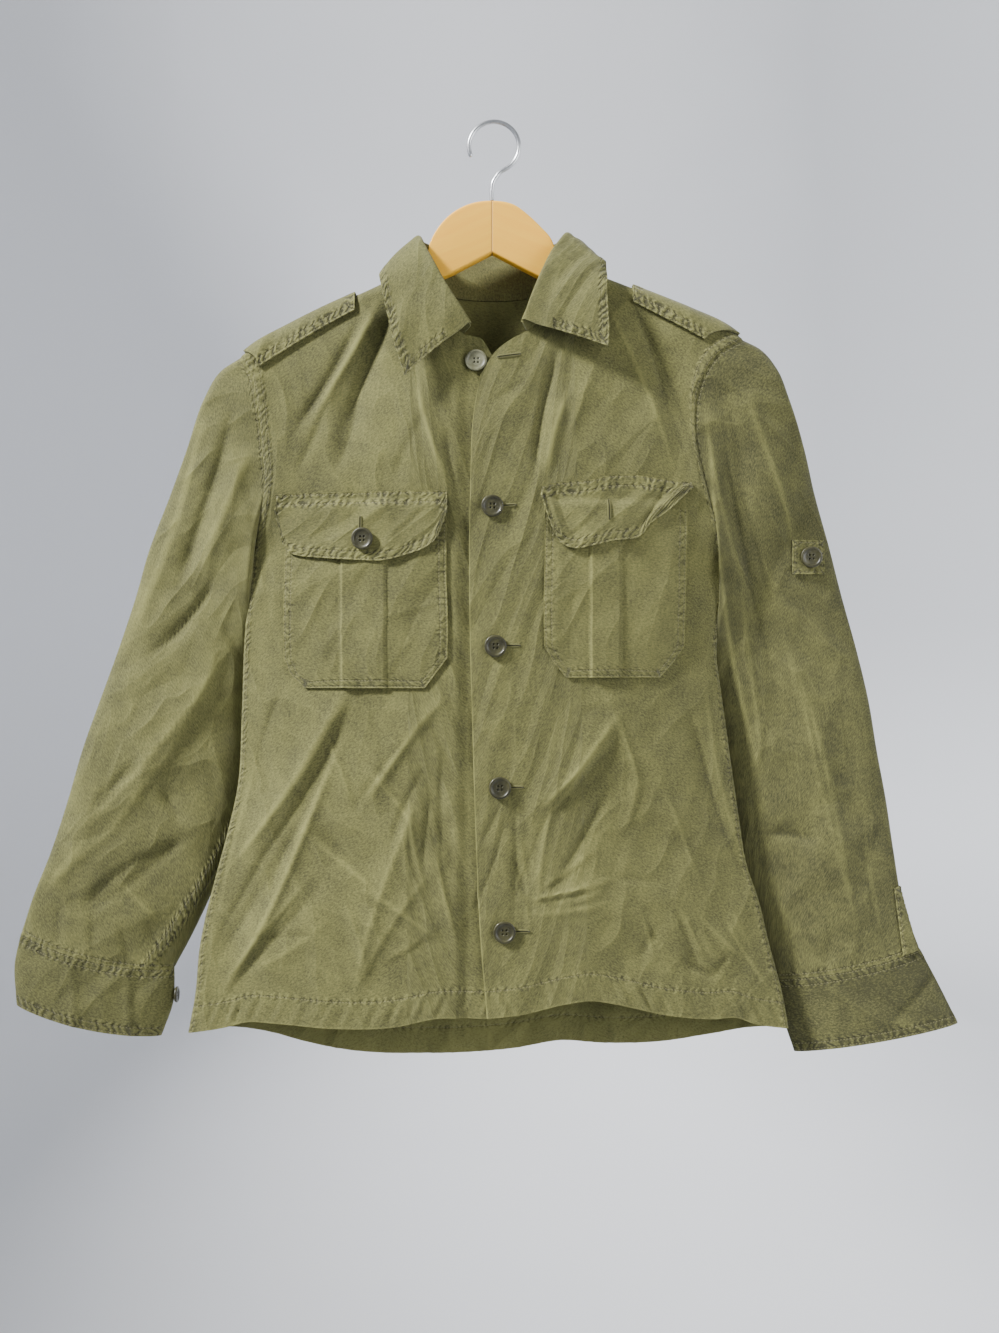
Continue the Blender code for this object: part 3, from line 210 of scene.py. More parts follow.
# Folds: a ridge with a narrow crest, or a trough where the height is negative, as x0, z0, x1,
# z1, half width and height. The first rows of each table are the main ones.
FRONT_FOLDS = [
    (-92, -166, -131, -290, 13, -4.5), (-106, -158, -146, -252, 12, 3),
    (-118, -178, -164, -262, 12, -2.5), (-66, -232, -42, -318, 14, 2.6),
    (-130, -510, -222, -640, 16, 4), (-128, -528, -258, -754, 12, -3.2),
    (-142, -574, -226, -738, 13, 3.4), (-50, -515, -104, -584, 10, 2.8),
    (-76, -606, -116, -750, 13, 3.4), (-112, -652, -190, -560, 12, -2),
    (-36, -606, -38, -660, 12, -2.4), (-60, -570, -42, -660, 10, -1.8),
    (124, -164, 176, -306, 14, -4.5), (106, -168, 150, -300, 12, 2.4),
    (50, -206, 38, -304, 12, -3), (62, -244, 46, -308, 11, 2.6),
    (102, -528, 48, -600, 12, 2.2), (104, -582, 42, -680, 13, -1.6),
    (40, -690, 92, -680, 11, 2.2), (24, -600, 28, -700, 12, -2.4),
    (170, -530, 216, -650, 14, -3), (204, -700, 236, -756, 14, 2.4),
    (160, -738, 206, -744, 12, -2), (-204, -740, -150, -700, 14, 2),
    # finer creases of the left front
    (-133, -508, -222, -638, 7, 2), (-130, -524, -203, -645, 6, -2.4),
    (-203, -645, -253, -748, 6, -2.4), (-140, -572, -223, -734, 6, 2),
    (-188, -505, -213, -588, 4, -1.5), (-50, -514, -105, -582, 5, 1.9),
    (-58, -524, -116, -592, 5, -1.7), (-143, -626, -105, -665, 5, -2),
    (-74, -601, -60, -661, 5, 2), (-60, -661, -114, -744, 6, 2),
    (-56, -572, -45, -624, 4, -1.7), (-35, -700, -74, -719, 4, -1.9),
    (-92, -170, -120, -252, 6, -2.7), (-120, -252, -133, -301, 5, -2.4),
    (-104, -162, -152, -260, 6, 2), (-120, -178, -169, -269, 5, -2.2),
    (-146, -257, -169, -301, 5, -2), (-68, -234, -38, -318, 6, 2),
    (-39, -277, -33, -339, 4, -2.5), (-60, -262, -86, -312, 5, -1.5),
    (-105, -572, -64, -615, 3.5, 1.9), (-99, -567, -55, -603, 3.5, -1.8),
    (-156, -623, -103, -671, 3.5, 1.8), (-105, -674, -52, -706, 3, 1.8),
    (-111, -680, -59, -713, 3, -1.7), (-88, -728, -29, -692, 3.5, 1.6),
    (-64, -572, -87, -626, 3.5, -1.9), (-126, -685, -110, -733, 3, 1.5),
    (-78, -616, -71, -662, 3.5, 1.9), (-54, -593, -61, -645, 3.5, -1.9),
    (-47, -636, -36, -706, 4, 2), (-42, -558, -47, -636, 4, -2.2),
    (-232, -756, -168, -666, 3.5, 1.9), (-224, -759, -159, -671, 3.5, -1.6),
    (-211, -558, -234, -680, 5, 1.8), (-168, -619, -201, -680, 4, -1.6),
    (-142, -541, -125, -593, 5, 1.5), (-211, -714, -151, -706, 4, -1.1),
    # finer creases of the right front
    (104, -528, 50, -587, 6, 2.2), (50, -587, 39, -670, 5, 1.9),
    (104, -581, 41, -674, 5, -1.4), (38, -677, 75, -665, 4, 1.7), (58, -680, 92, -670, 4, 1.7),
    (10, -605, -13, -682, 5, -2.2), (4, -597, -10, -626, 4, -1.7),
    (15, -641, 33, -688, 4, -1.9), (201, -696, 232, -753, 6, -2.4),
    (164, -732, 188, -746, 4, -1.9), (188, -746, 203, -728, 4, -1.5),
    (172, -530, 214, -645, 7, -2.4), (123, -164, 151, -256, 6, -2.7),
    (151, -256, 174, -312, 5, -2.4), (52, -211, 37, -307, 5, -3.1), (61, -247, 47, -307, 5, 2),
    (87, -224, 64, -273, 5, 1.5), (0, -250, 26, -232, 5, -1.2), (127, -692, 136, -723, 3, 1.6),
    (136, -704, 127, -725, 3, -1.4), (156, -690, 177, -733, 3.5, -1.9),
    (163, -692, 182, -728, 3, 1.7), (186, -701, 213, -728, 3.5, 1.8),
    (182, -706, 205, -733, 3, -1.7), (211, -695, 222, -721, 3, 1.5),
    (179, -733, 198, -747, 3, 1.4), (42, -676, 102, -658, 3.5, 1.8),
    (44, -666, 83, -635, 3, 1.6), (109, -525, 123, -579, 4, 1.9),
    (123, -579, 113, -616, 3.5, 1.6), (44, -598, 97, -537, 4, 2),
    (51, -603, 102, -543, 4, -1.8), (22, -633, 31, -697, 4, 1.8),
    (14, -593, 19, -680, 4, -2.2), (92, -654, 144, -666, 4, -1.2),
    (144, -584, 179, -662, 5, 1.4), (185, -506, 215, -636, 6, 2.2),
    (192, -506, 222, -636, 5, -2),
]
BACK_FOLDS = [
    (-150, -190, -96, -330, 17, 4), (140, -180, 96, -320, 17, 4),
    (-60, -210, -40, -420, 16, -3), (62, -220, 34, -400, 16, -3),
    (-8, -300, 10, -560, 18, 2.6), (-180, -420, -120, -620, 18, -3.4),
    (176, -430, 128, -640, 18, -3.4), (-110, -600, -150, -800, 18, 4),
    (-30, -640, -50, -815, 16, -3.2), (52, -620, 34, -810, 15, 3.6),
    (120, -650, 104, -805, 15, -3.4), (190, -660, 208, -780, 15, 3),
    (-196, -650, -214, -770, 15, -3),
    # finer creases
    (-160, -200, -112, -318, 7, 2.4), (-132, -196, -84, -300, 6, -2.2),
    (150, -190, 108, -300, 7, 2.2), (118, -200, 80, -316, 6, -2),
    (-52, -250, -30, -360, 5, -1.7), (44, -260, 20, -372, 6, -1.9),
    (-190, -400, -140, -520, 6, -2.2), (188, -410, 150, -540, 6, -2.4),
    (-84, -560, -130, -700, 6, 2.2), (-20, -600, -44, -760, 6, -2), (66, -600, 40, -742, 6, 2),
    (134, -640, 112, -780, 5, -1.9), (-170, -560, -206, -660, 5, 1.7),
    (88, -420, 120, -520, 6, 1.5),
]
SLEEVE_FOLDS = {
    "left": [
        (-256, -276, -318, -440, 13, 3), (-230, -250, -270, -402, 14, -4),
        (-214, -290, -250, -392, 11, 3), (-246, -404, -298, -466, 10, -2.4),
        (-244, -474, -360, -620, 15, 4.6), (-312, -566, -352, -606, 10, -3.6),
        (-274, -634, -350, -686, 10, -3.6), (-360, -626, -392, -668, 13, 3),
        (-290, -590, -274, -616, 9, -2), (-300, -700, -330, -668, 11, 2),
        # finer creases
        (-246, -473, -290, -561, 7, 2.2), (-290, -561, -339, -620, 7, 2.2),
        (-339, -620, -388, -669, 6, 2), (-319, -565, -355, -605, 5, -2.7),
        (-291, -589, -280, -612, 4, -1.9), (-280, -634, -315, -648, 5, -2.5),
        (-315, -648, -358, -685, 5, -2.7), (-258, -275, -321, -436, 7, 2),
        (-232, -250, -273, -401, 6, -2.5), (-217, -288, -253, -389, 6, 2),
        (-248, -404, -298, -465, 5, -2.4), (-340, -500, -366, -560, 5, -1.5),
        (-292, -738, -306, -704, 4, -1.7), (-322, -740, -330, -708, 4, -1.9),
        (-352, -738, -356, -700, 4, -1.7), (-386, -730, -384, -694, 4, -1.7),
    ],
    "right": [
        (200, -216, 246, -506, 13, -4.4), (186, -278, 230, -548, 11, 3.4),
        (228, -250, 256, -350, 12, 2.6), (258, -464, 316, -680, 18, 3.4),
        (243, -624, 282, -632, 10, -3), (330, -612, 338, -708, 10, 2.4),
        (300, -560, 338, -640, 13, -2), (262, -690, 290, -738, 12, -2.4),
        # finer creases
        (201, -218, 217, -306, 6, -2.5), (217, -306, 240, -420, 7, -2.5),
        (185, -275, 222, -410, 6, 2.2), (222, -410, 230, -555, 6, 2),
        (256, -464, 286, -585, 6, 1.9), (286, -585, 315, -677, 6, 1.9),
        (226, -252, 255, -348, 6, 1.9), (242, -623, 280, -630, 4, -2.5),
        (331, -612, 337, -711, 4, -2), (322, -640, 346, -660, 4, -1.7),
        (266, -752, 260, -706, 4, -1.7), (292, -748, 296, -712, 4, -1.7),
        (322, -744, 324, -706, 4, -1.7), (348, -738, 344, -704, 4, -1.5),
    ],
}

# Pockets: one row a height, z, left x and right x. The pleat is the strip between its edges.
POCKET = {
    "left": {
        "rows": [(-341, -181, -40.5), (-358, -181, -40.5), (-378, -181.5, -40.5),
                 (-402, -182, -40.5), (-426, -182.5, -39.5), (-448, -182.5, -39),
                 (-470, -182, -39.5), (-484, -176.5, -50), (-496, -163, -59)],
        "pleat": (-130.2, -93.2),
    },
    "right": {
        "rows": [(-341, 43, 167), (-356, 43.5, 167), (-374, 43.5, 166.5),
                 (-398, 43, 166.5), (-422, 42.5, 166), (-440, 42.5, 165.5),
                 (-460, 43, 165), (-474, 51, 155), (-487, 62, 143)],
        "pleat": (83, 107),
    },
}
POCKET_FOLDS = [
    (-120, -404, -104, -384, 4, 0.9), (-88, -436, -46, -420, 3, 0.8),
    (-152, -468, -128, -440, 6, 0.9), (-70, -452, -92, -484, 6, 0.8),
    (-160, -392, -148, -470, 9, 0.9), (60, -372, 54, -456, 6, 0.8),
    (150, -372, 142, -452, 8, 0.9), (72, -404, 64, -470, 5, -0.7),
    (128, -380, 150, -440, 6, -0.6),
]

# The pleat's height and the width of its sides, its sway (height, length, seed), how far a
# pocket bulges, its rows, and its columns beside the pleat and over it.
PLEAT_RAISE = 1.6
PLEAT_SIDE = 1.6
PLEAT_WOBBLE = (0.5, 60.0, 2.0)
POCKET_PUFF = 2.2
POCKET_ROWS = 84
POCKET_COLUMNS = (26, 22)

# Flaps: one row a station across, x, z at the top and z at the bottom.
FLAP = {
    "left": [(-188.5, -328.5, -343), (-182, -328.2, -371), (-172, -328, -380.5),
             (-147, -327.6, -384), (-112, -327.4, -386.5), (-92, -327.2, -386.5),
             (-72, -327, -381), (-58, -327, -375.5), (-48, -327, -366), (-40, -327, -345)],
    "right": [(41, -323, -331), (48, -321, -354), (57, -319.5, -371.5), (69, -318.8, -376.3),
              (83, -317, -374), (101.5, -313, -369.5), (123, -312.5, -366),
              (134, -314, -354), (147, -315.5, -345), (159, -317, -334), (171, -318, -322)],
}
FLAP_CURL = {"left": 1.0, "right": 3.5}
FLAP_FOLDS = {
    "left": [(-86, -369, -62, -343, 4, -1.3), (-170, -340, -140, -376, 6, 0.8)],
    "right": [(50, -321, 70, -371, 4, -1.8), (44, -322, 60, -366, 4, 1.6),
              (147, -324, 126, -358, 4, -2.0), (163, -321, 136, -349, 5, 2.0)],
}

# How softly a flap takes the pleat's shape and steps up on the pocket, and its sway.
FLAP_EASE = 18.0
FLAP_STEP = 9.0
FLAP_SWING = (0.8, 70.0, 1.0)
FLAP_GRID = (42, 96)

# Shoulder straps: x of the collar end, and reach in front and behind at both ends.
STRAP = {
    "left": {"start": -121, "front": (20, 27), "back": (20, 24)},
    "right": {"start": 121, "front": (19, 26), "back": (20, 24)},
}

# Gap to the armhole's seam, rows and columns, and a point that all of a strap faces away from.
STRAP_INSET = 4.5
STRAP_GRID = (48, 74)
STRAP_MIDDLE = np.array([0.0, 0.0, -260.0])

# Collar stations from the left front end round the back to the right front end: the neckline
# and the share of it where the station stands, then x, y, z of its roll and of its edge.
COLLAR = [
    ("left", 3, -20, -30, -184, -76, -40, -229.5),
    ("left", 4, -29, -31, -169.5, -82, -40, -210),
    ("left", 5, -41, -27, -150, -89, -37, -186),
    ("left", 6, -53, -20, -127, -94.5, -31, -160),
    ("left", 7, -60, -13, -113, -97, -24, -146),
    ("back", 0, -64, -3, -103, -98, -11, -136),
    ("back", 1, -66, 7, -101, -97, 8, -133),
    ("back", 2, -61, 17, -102, -88, 21, -139),
    ("back", 3, -42, 27, -107, -60, 34, -151),
    ("back", 4, -14, 31, -110.5, -20, 39, -158),
    ("back", 5, 12, 31, -110, 18, 39, -158),
    ("back", 6, 40, 27, -106, 57, 34, -149),
    ("back", 7, 59.5, 17, -100.5, 86, 21, -132),
    ("back", 8, 64.5, 7, -99, 95, 8, -122),
    ("back", 9, 62, -3, -100, 96, -11, -127),
    ("right", 7, 57, -12, -108, 97, -22, -139),
    ("right", 6, 49, -19, -121, 97, -30, -150),
    ("right", 5, 40, -26, -141, 97.5, -35, -169),
    ("right", 4, 32, -30.5, -162, 98.5, -38, -187),
    ("right", 3, 25, -30, -181, 97.5, -39, -204),
]
FRONT_NECK = (0, 0.143, 0.286, 0.429, 0.571, 0.714, 0.857, 0.95, 1.0)
BACK_NECK_COLUMNS = (0, 0.05, 0.15, 0.29, 0.43, 0.57, 0.71, 0.85, 0.95, 1.0)

# The collar's section: the stand's top as a share of the way to the roll, the crest of the
# roll, and the leaf's crown and fullness. Then its rows and columns, a point that the leaf
# faces away from, its sway, and where across it the leaf begins.
COLLAR_GRID = (260, 84)
COLLAR_MIDDLE = np.array([0.0, 0.0, -160.0])
COLLAR_SWING = (1.2, 95.0, 1.7)
COLLAR_STAND_GAP = 60.0
LEAF_COLUMN = 50
LEAF_START = (0.42, 0.08)
LEAF_STATIONS = (0.12, 0.34, 0.56, 0.78, 1.0)
STAND_TOP = 0.86
LEAF_CROWN = 3.0
ROLL_FULLNESS = 3.2
CREST = 1.8

# Buttonholes: the piece they are worked in, x and z of the middle, the way that they run in
# degrees, and their length.
BUTTONHOLES = [
    ("front", 13.0, -209.5, 8.0, 21.0), ("front", 8.5, -339.5, 2.0, 22.0),
    ("front", 12.0, -459.5, 0.0, 22.0), ("front", 14.5, -580.5, 0.0, 22.0),
    ("front", 20.0, -703.5, 0.0, 22.0), ("flap_left", -113.5, -358.0, 90.0, 20.0),
    ("flap_right", 98.0, -343.0, 90.0, 18.0),
]

# A buttonhole's rows and columns, the size of its thread and slit, and the heights of a
# flap's top and bottom where its own are measured from.
BUTTONHOLE_GRID = (15, 60)
BUTTONHOLE_HALF_WIDTH = 1.9
BUTTONHOLE_RAISE = 0.7
BUTTONHOLE_SLIT = 0.9
BUTTONHOLE_LIFT = 0.35
BUTTONHOLE_CLOTH = 0.5
FLAP_HEIGHTS = (327, 380)

# Buttons on the front, and the ways that the cuffs' buttons face.
BUTTONS = ("button_top", "button_front_2", "button_front_3", "button_front_4",
           "button_front_5", "button_pocket", "button_sleeve")
CUFF_BUTTONS = {"button_cuff_left": (1.0, 0.0, 0.0), "button_cuff_right": (-0.3, 1.0, 0.0)}

# A button's profile from the middle of its face to the middle of its back: share of the
# radius, share of the height. A sewing hole has its place as a share of the radius, and its
# radius, its ease and its depth as a share of the height.
BUTTON_PROFILE = [(0.0, 0.62), (0.3, 0.62), (0.6, 0.66), (0.74, 0.78), (0.84, 0.98),
                  (0.93, 0.96), (1.0, 0.66), (0.97, 0.3), (0.8, 0.04), (0.5, 0.0), (0.0, 0.0)]
BUTTON_HEIGHT = 3.0
BUTTON_GRID = (64, 56)
BUTTON_FACE_ROWS = 30
BUTTON_HOLE_PLACE = 0.17
BUTTON_HOLE = (0.6, 0.4, 0.5)
BUTTON_SLOPE_REACH = 7.0

# The patch under the sleeve's button, and the strip beside the slit above the right cuff.
SLEEVE_PATCH = {"x": (262.5, 291.5), "z": (-396, -366)}
PATCH_STEPS = 36
PLACKET_GRID = (44, 12)
PLACKET_RAISE = 0.5
PLACKET = {"slit": ((354, -674), (361, -733)), "rim": ((359.5, -672), (374.5, -729))}

# Felled sleeve seam: share of the sleeve's length, and how far in front of its inner edge.
SLEEVE_FELL = {
    "left": [(0.0, -6), (0.6, -2), (0.72, 6), (0.84, 14), (0.93, 20), (1.0, 27)],
    "right": [(0.0, -12), (1.0, -12)],
}

# Stitching of each finish: a UV map, the distances of its stitch rows from the edge, and the
# strength of its ripples.
SEAMS = {
    "body": [("arm", (1.8, 8.2), 0.55), ("hem", (23.0,), 0.6)],
    "sleeve": [("ends", (3.0,), 0.5), ("fell", (1.2, 8.8), 1.0)],
    "cuff": [("ends", (1.8, 7.5), 0.7)],
    "patch": [("edge", (2.0,), 0.8)],
    "collar": [("edge", (1.5, 6.5), 0.8)],
    "pocket": [("edge", (1.5, 6.5), 0.38)],
    "flap": [("top", (1.5, 9.5), 1.0), ("edge", (1.2, 7.0), 0.8)],
    "strap": [("edge", (1.5, 6.5), 1.0)],
}
# Ripples in the shape along a seam: how far from the edge they reach, length, height, seed.
RIPPLES = {
    "body": (8.2, 7.0, 0.22, 2.0),
    "sleeve_ends": (3.0, 8.0, 0.4, 3.0),
    "sleeve_fell": (8.8, 8.5, 0.5, 1.5),
    "cuff_left": (7.5, 7.0, 0.35, 2.0),
    "cuff_right": (7.5, 7.0, 0.35, 1.0),
    "patch": (2.0, 6.0, 0.3, 2.0),
    "collar": (7.0, 8.2, 0.5, 4.0),
    "pocket_left": (6.5, 6.5, 0.2, 3.0),
    "pocket_right": (6.5, 6.5, 0.2, 4.0),
    "flap_top": (9.5, 6.2, 0.4, 1.0),
    "flap_edge": (7.0, 7.0, 0.4, 2.5),
    "strap": (6.5, 6.5, 0.25, 1.2),
}
# Paler cloth near an edge: a UV map, how pale it is and how far in it reaches. A front's line
# at its edge is wear and a painted highlight where the edge catches the light. The back's band
# along its hem is painted light on cloth that hangs in shade, and the back is paler within
# 110 mm of its top. The pocket's line at the pleat's left edge is a painted highlight, and its
# rubbed edge is wear.
WEAR_AND_LIGHT = {
    "front": (("worn", 0.75, 1.5),),
    "back": (("worn", 0.30, 110.0), ("hem", 0.34, 60.0)),
    "pocket": (("worn", 0.30, 1.5), ("edge", 0.22, 1.6)),
}
# How much paler than the body each piece is, below zero where darker. The right sleeve's and
# right cuff's darkening is painted shade, as that arm hangs back in shade, and the right
# pocket's paleness and the left pocket's darkening are painted light and painted shade. The
# left cuff is darker, and the others differ a little in tone.
TONES_AND_SHADE = {
    "patch": 0.03, "collar": 0.02, "flap": 0.05, "strap": 0.03,
    "pocket_left": -0.05, "pocket_right": 0.10, "sleeve_left": 0.02, "sleeve_right": -0.20,
    "cuff_left": -0.10, "cuff_right": -0.32,
}

# Felled seams and the turned hem: width, what they add, and the hem's ripples (length,
# height).
FELL = 8.8
FELL_RAISE = 0.8
SLEEVE_FELL_RAISE = 0.6
SLEEVE_FELL_WIDTH = 9.5
FELL_START = 5.0
HEM = 23.5
HEM_RAISE = 0.5
HEM_WAVE = (15.0, 1.5)
CUFF_RAISE = 0.3
CUFF_FOLDS = {
    "left": [(-373, -736, -371, -800, 4, 1.6), (-322, -740, -320, -806, 4, 1.8)],
    "right": [(388, -752, 352, -792, 5, -1.8), (300, -760, 306, -812, 7, 1.0)],
}

# Hanger: the wood's thickness and section, its edges by x with the arch in the middle, and
# the wire hook with its stem, its bend in degrees and its domed end.
WOOD_HALF_THICKNESS = 6.0
WOOD_CORNER = 3.6
WOOD_SQUARE = 0.55
WOOD_GRID = (420, 40)
WOOD_BLEND = (40.0, 60.0)
WOOD_TOP_GAP = ((70.0, 95.0), (6.5, 3.6))
ARCH = [(-61, -127.5), (-58.5, -121), (-57, -108), (-50, -93.5), (-37, -79.5), (-22, -71.5),
        (-1.8, -68.5), (17, -71.8), (30, -81), (41, -91.5), (49.5, -101), (54, -112),
        (56, -120), (58.5, -126)]
ARM_SPAN = {"left": (-206.0, -70.0), "right": (202.0, 68.0)}
ARM_STATIONS = 9
ARM_REACH = (45.0, 200.0)
ARM_DEPTH = (30.0, 15.0)
CHEVRON = (-1.8, -115.0)
CHEVRON_SLOPE = 0.52
HOOK_WIRE = 1.9
HOOK_RADIUS = 22.0
HOOK_STEM = [(-1.8, -68.1), (-1.8, -58), (-0.6, -51), (3.5, -44.5)]
HOOK_TURN = (-55.0, 205.0)
HOOK_GRID = (240, 24)
HOOK_DOME = 6

# Stage, in metres: the floor's profile (radius, height), which rises all round to a wall,
# then colours, the places of the lights and of what they light, and, in mm, the camera's x
# and z and the picture's height.
FLOOR_PROFILE = [(0.0, -1.3), (2.2, -1.3), (3.3, -1.22), (3.75, -0.98), (3.95, -0.6),
                 (4.0, -0.1), (4.0, 1.95)]
FLOOR_GRID = (40, 64)
WALL_PALE = (0.90, 0.91, 0.94)
WALL_SHADED = (0.36, 0.37, 0.39)
KEY_PLACE = (-2.3, -0.95, 1.55)
FILL_PLACE = (1.5, -1.2, -0.1)
FILL_SIZE = 1.2
LIT_PLACE = (0.0, 0.0, -0.45)
ROOM_COLOUR = (0.93, 0.96, 1.0)
CAMERA_PLACE = (4.8, -477.4)
PICTURE_HEIGHT = 36.0

# Points of an outline. Then the grids of body, sleeves and cuffs: how much finer rows are
# near the ridge, the armhole's share of the rows and the neck's share of a front's columns,
# the counts of rows and columns, and the powers that pull a panel's inner columns onto its
# side edges.
LINE_POINTS = 240
RIDGE_FINENESS = 0.35
ARM_SHARE = 0.31
NECK_SHARE = 0.33
ARM_STEPS = 70
SIDE_STEPS = 180
NECK_STEPS = 50
SHOULDER_STEPS = 80
FRONT_PULLS = (5, 3)
BACK_PULLS = (7, 7)
SLEEVE_STEPS = 170
CUFF_STEPS = 30


def smooth(value):
    """Ease from 0 to 1, level at both ends: 3t^2 - 2t^3."""
    value = np.clip(value, 0.0, 1.0)
    return value * value * (3.0 - 2.0 * value)


def curve(points, knots, at):
    """Cubic through the points, whose slopes are the mean ones between neighbours."""
    points = np.asarray(points, float)
    knots = np.asarray(knots, float)
    at = np.asarray(at, float)
    slopes = np.gradient(points, knots, axis=0)
    index = np.clip(np.searchsorted(knots, at, side="right") - 1, 0, len(points) - 2)
    shape = (-1,) + (1,) * (points.ndim - 1)
    width = (knots[index + 1] - knots[index]).reshape(shape)
    u = (at - knots[index]).reshape(shape) / width
    start, end = points[index], points[index + 1]
    return ((2 * u**3 - 3 * u**2 + 1) * start + (u**3 - 2 * u**2 + u) * width * slopes[index]
            + (3 * u**2 - 2 * u**3) * end + (u**3 - u**2) * width * slopes[index + 1])


def along(points, shares):
    """Points at the given shares of the length of a smooth curve through a table's rows."""
    points = np.asarray(points, float)
    steps = np.linalg.norm(np.diff(points, axis=0), axis=1)
    knots = np.concatenate([[0.0], np.cumsum(steps)])
    return curve(points, knots, np.asarray(shares, float) * knots[-1])


def refine(grid, rows, columns):
    """Finer grid through a coarse one, by the same cubic down it and then across it."""
    down = curve(grid, np.arange(len(grid)), np.linspace(0, len(grid) - 1, rows))
    turned = np.swapaxes(down, 0, 1)
    across = curve(turned, np.arange(len(turned)), np.linspace(0, len(turned) - 1, columns))
    return np.swapaxes(across, 0, 1)


def wander(s, length, seed):
    """Uneven wave between about -1 and 1: three sines whose lengths share no multiple."""
    t = 2 * math.pi * s / length
    return (np.sin(t + seed) + 0.7 * np.sin(1.73 * t + 2.3 * seed)
            + 0.5 * np.sin(2.91 * t + 4.1 * seed)) / 2.0


def grid_of(x, y, z):
    """Points from arrays of their x, y and z."""
    return np.stack([x, y, z], axis=-1)


def outline_x():
    """Each side's outer edge as heights and x, from the bottom up."""
    table = {}
    for side in SIDES:
        shares = np.linspace(0, 1, LINE_POINTS)
        line = np.vstack([along(ARMHOLE[side], shares), along(SIDE_SEAM[side], shares[1:])])
        table[side] = (line[::-1, 1], line[::-1, 0])
    return table


EDGE = outline_x()


def body_edge(side, z):
    """x of the body's outer edge by z: down the armhole, then down the side seam."""
    return np.interp(z, *EDGE[side])


def shoulder_line(side, x):
    """Height of the shoulder ridge over x, carried straight on towards the middle."""
    line = along(SHOULDER[side], np.linspace(0, 1, LINE_POINTS))
    (x0, z0), (x1, z1) = line[0], line[LINE_POINTS // 3]
    inward = z0 + (z1 - z0) / (x1 - x0) * (x - x0)
    order = np.argsort(line[:, 0])
    outward = np.interp(x, line[order, 0], line[order, 1])
    return np.where(np.abs(x) < abs(x0), inward, outward)


def folds(table, x, z):
    """Sum of creases. Across each one the height falls off as the exponential of the distance
    from its crest, faster on its steeper side, and is rounded at the top."""
    total = np.zeros(np.broadcast(x, z).shape)
    for off, fade, side, width, height in crease_lines(table, x, z):
        lean = 1.0 + FOLD_LEAN * np.tanh(off / width) * side
        far = CREST_PINCH * (off / width * lean)
        total = total + height * fade * np.exp(CREST_ROUND - np.hypot(far, CREST_ROUND))
    return total


def crests(table, x, z):
    """Painted light and shade along the creases: a narrow pale bell on each crest, a painted
    highlight that also stands for wear, and below zero in a trough, which is painted shade."""
    total = np.zeros(np.broadcast(x, z).shape)
    for off, fade, _, _, height in crease_lines(table, x, z):
        strength = math.tanh(height / CREASE_WEAR_AND_SHADING_HEIGHT) * (1.0 if height > 0 else TROUGH_SHADE)
        total = total + strength * fade * np.exp(-(off / CREASE_WEAR_AND_SHADING_WIDTH) ** 2)
    return total


def crease_lines(table, x, z):
    """For each crease: the distance from its crest's line, which bows a little, the fade
    towards its two ends, the side that is steeper, its half width and its height."""
    for x0, z0, x1, z1, width, height in table:
        length = math.hypot(x1 - x0, z1 - z0)
        ux, uz = (x1 - x0) / length, (z1 - z0) / length
        on = (x - x0) * ux + (z - z0) * uz
        off = (x - x0) * uz - (z - z0) * ux
        off = off + FOLD_BOW * length * np.sin(math.pi * on / length + 0.05 * x0)
        fade = smooth(0.5 + on / (0.5 * length)) * smooth(0.5 + (length - on) / (0.5 * length))
        yield off, fade, math.copysign(1.0, uz * height), width, height


def half_depth(side, face, x, z):
    """How far a body panel stands out from the shoulder plane at x, z."""
    drop = np.maximum(shoulder_line(side, x) - z, 0.0) * SHOULDER_COSINE
    ridge = RIDGE_RADIUS * np.sqrt(1.0 - (1.0 - np.clip(drop / RIDGE_RADIUS, 0, 1)) ** 2)
    swell = FRONT_SWELL if face == "front" else BACK_SWELL
    full = ridge + swell * (1.0 - np.exp(-drop / SWELL_LENGTH))
    arm = ridge + ARMHOLE_SWELL * (1.0 - np.exp(-drop / ARMHOLE_SWELL_LENGTH))
    underarm = ARMHOLE[side][-1][1]
    edge = EDGE_DEPTH + (arm - EDGE_DEPTH) * smooth((z - underarm) / EDGE_RISE)
    closing = 1.0 - smooth((z - underarm) / EDGE_CLOSING)
    outer = body_edge(side, z)
    gap = np.abs(outer - x) * (np.abs(x) < np.abs(outer))
    rounding = np.sqrt(1.0 - (closing * (1.0 - np.clip(gap / EDGE_ROUND, 0, 1))) ** 2)
    inward = 1.0 - (1.0 - np.clip(gap / np.abs(outer), 0, 1)) ** EDGE_CURVE
    depth = edge * rounding + (full - edge) * inward
    loose = smooth(gap / LOOSE_FROM_EDGE) * smooth(drop / LOOSE_FROM_RIDGE)
    table = FRONT_FOLDS if face == "front" else BACK_FOLDS
    return depth + folds(table, x, z) * loose


def body_y(face, x, z):
    """y of the body's outer skin at x, z, with the two sides blended in the middle."""
    left = half_depth("left", face, x, z)
    right = half_depth("right", face, x, z)
    depth = left + (right - left) * smooth((x / MIDDLE_BLEND + 1.0) / 2.0)
    return -depth if face == "front" else depth


def lap(x):
    """How far the left front's edge lies behind the right front, which laps over it."""
    return UNDER_LAP * smooth((x - LAP_EDGE) / LAP_FADE)


def arm_shares():
    """Shares down the armhole: fine over the shoulder's ridge, then even."""
    t = np.linspace(0, 1, ARM_STEPS + 1)
    return RIDGE_FINENESS * t**3 + (1.0 - RIDGE_FINENESS) * t


def side_rows(side):
    """Points down the body's outer edge, one for each row of its grid."""
    arm = along(ARMHOLE[side], arm_shares())
    seam = along(SIDE_SEAM[side], np.linspace(0, 1, SIDE_STEPS + 1))[1:]
    return np.vstack([arm, seam])


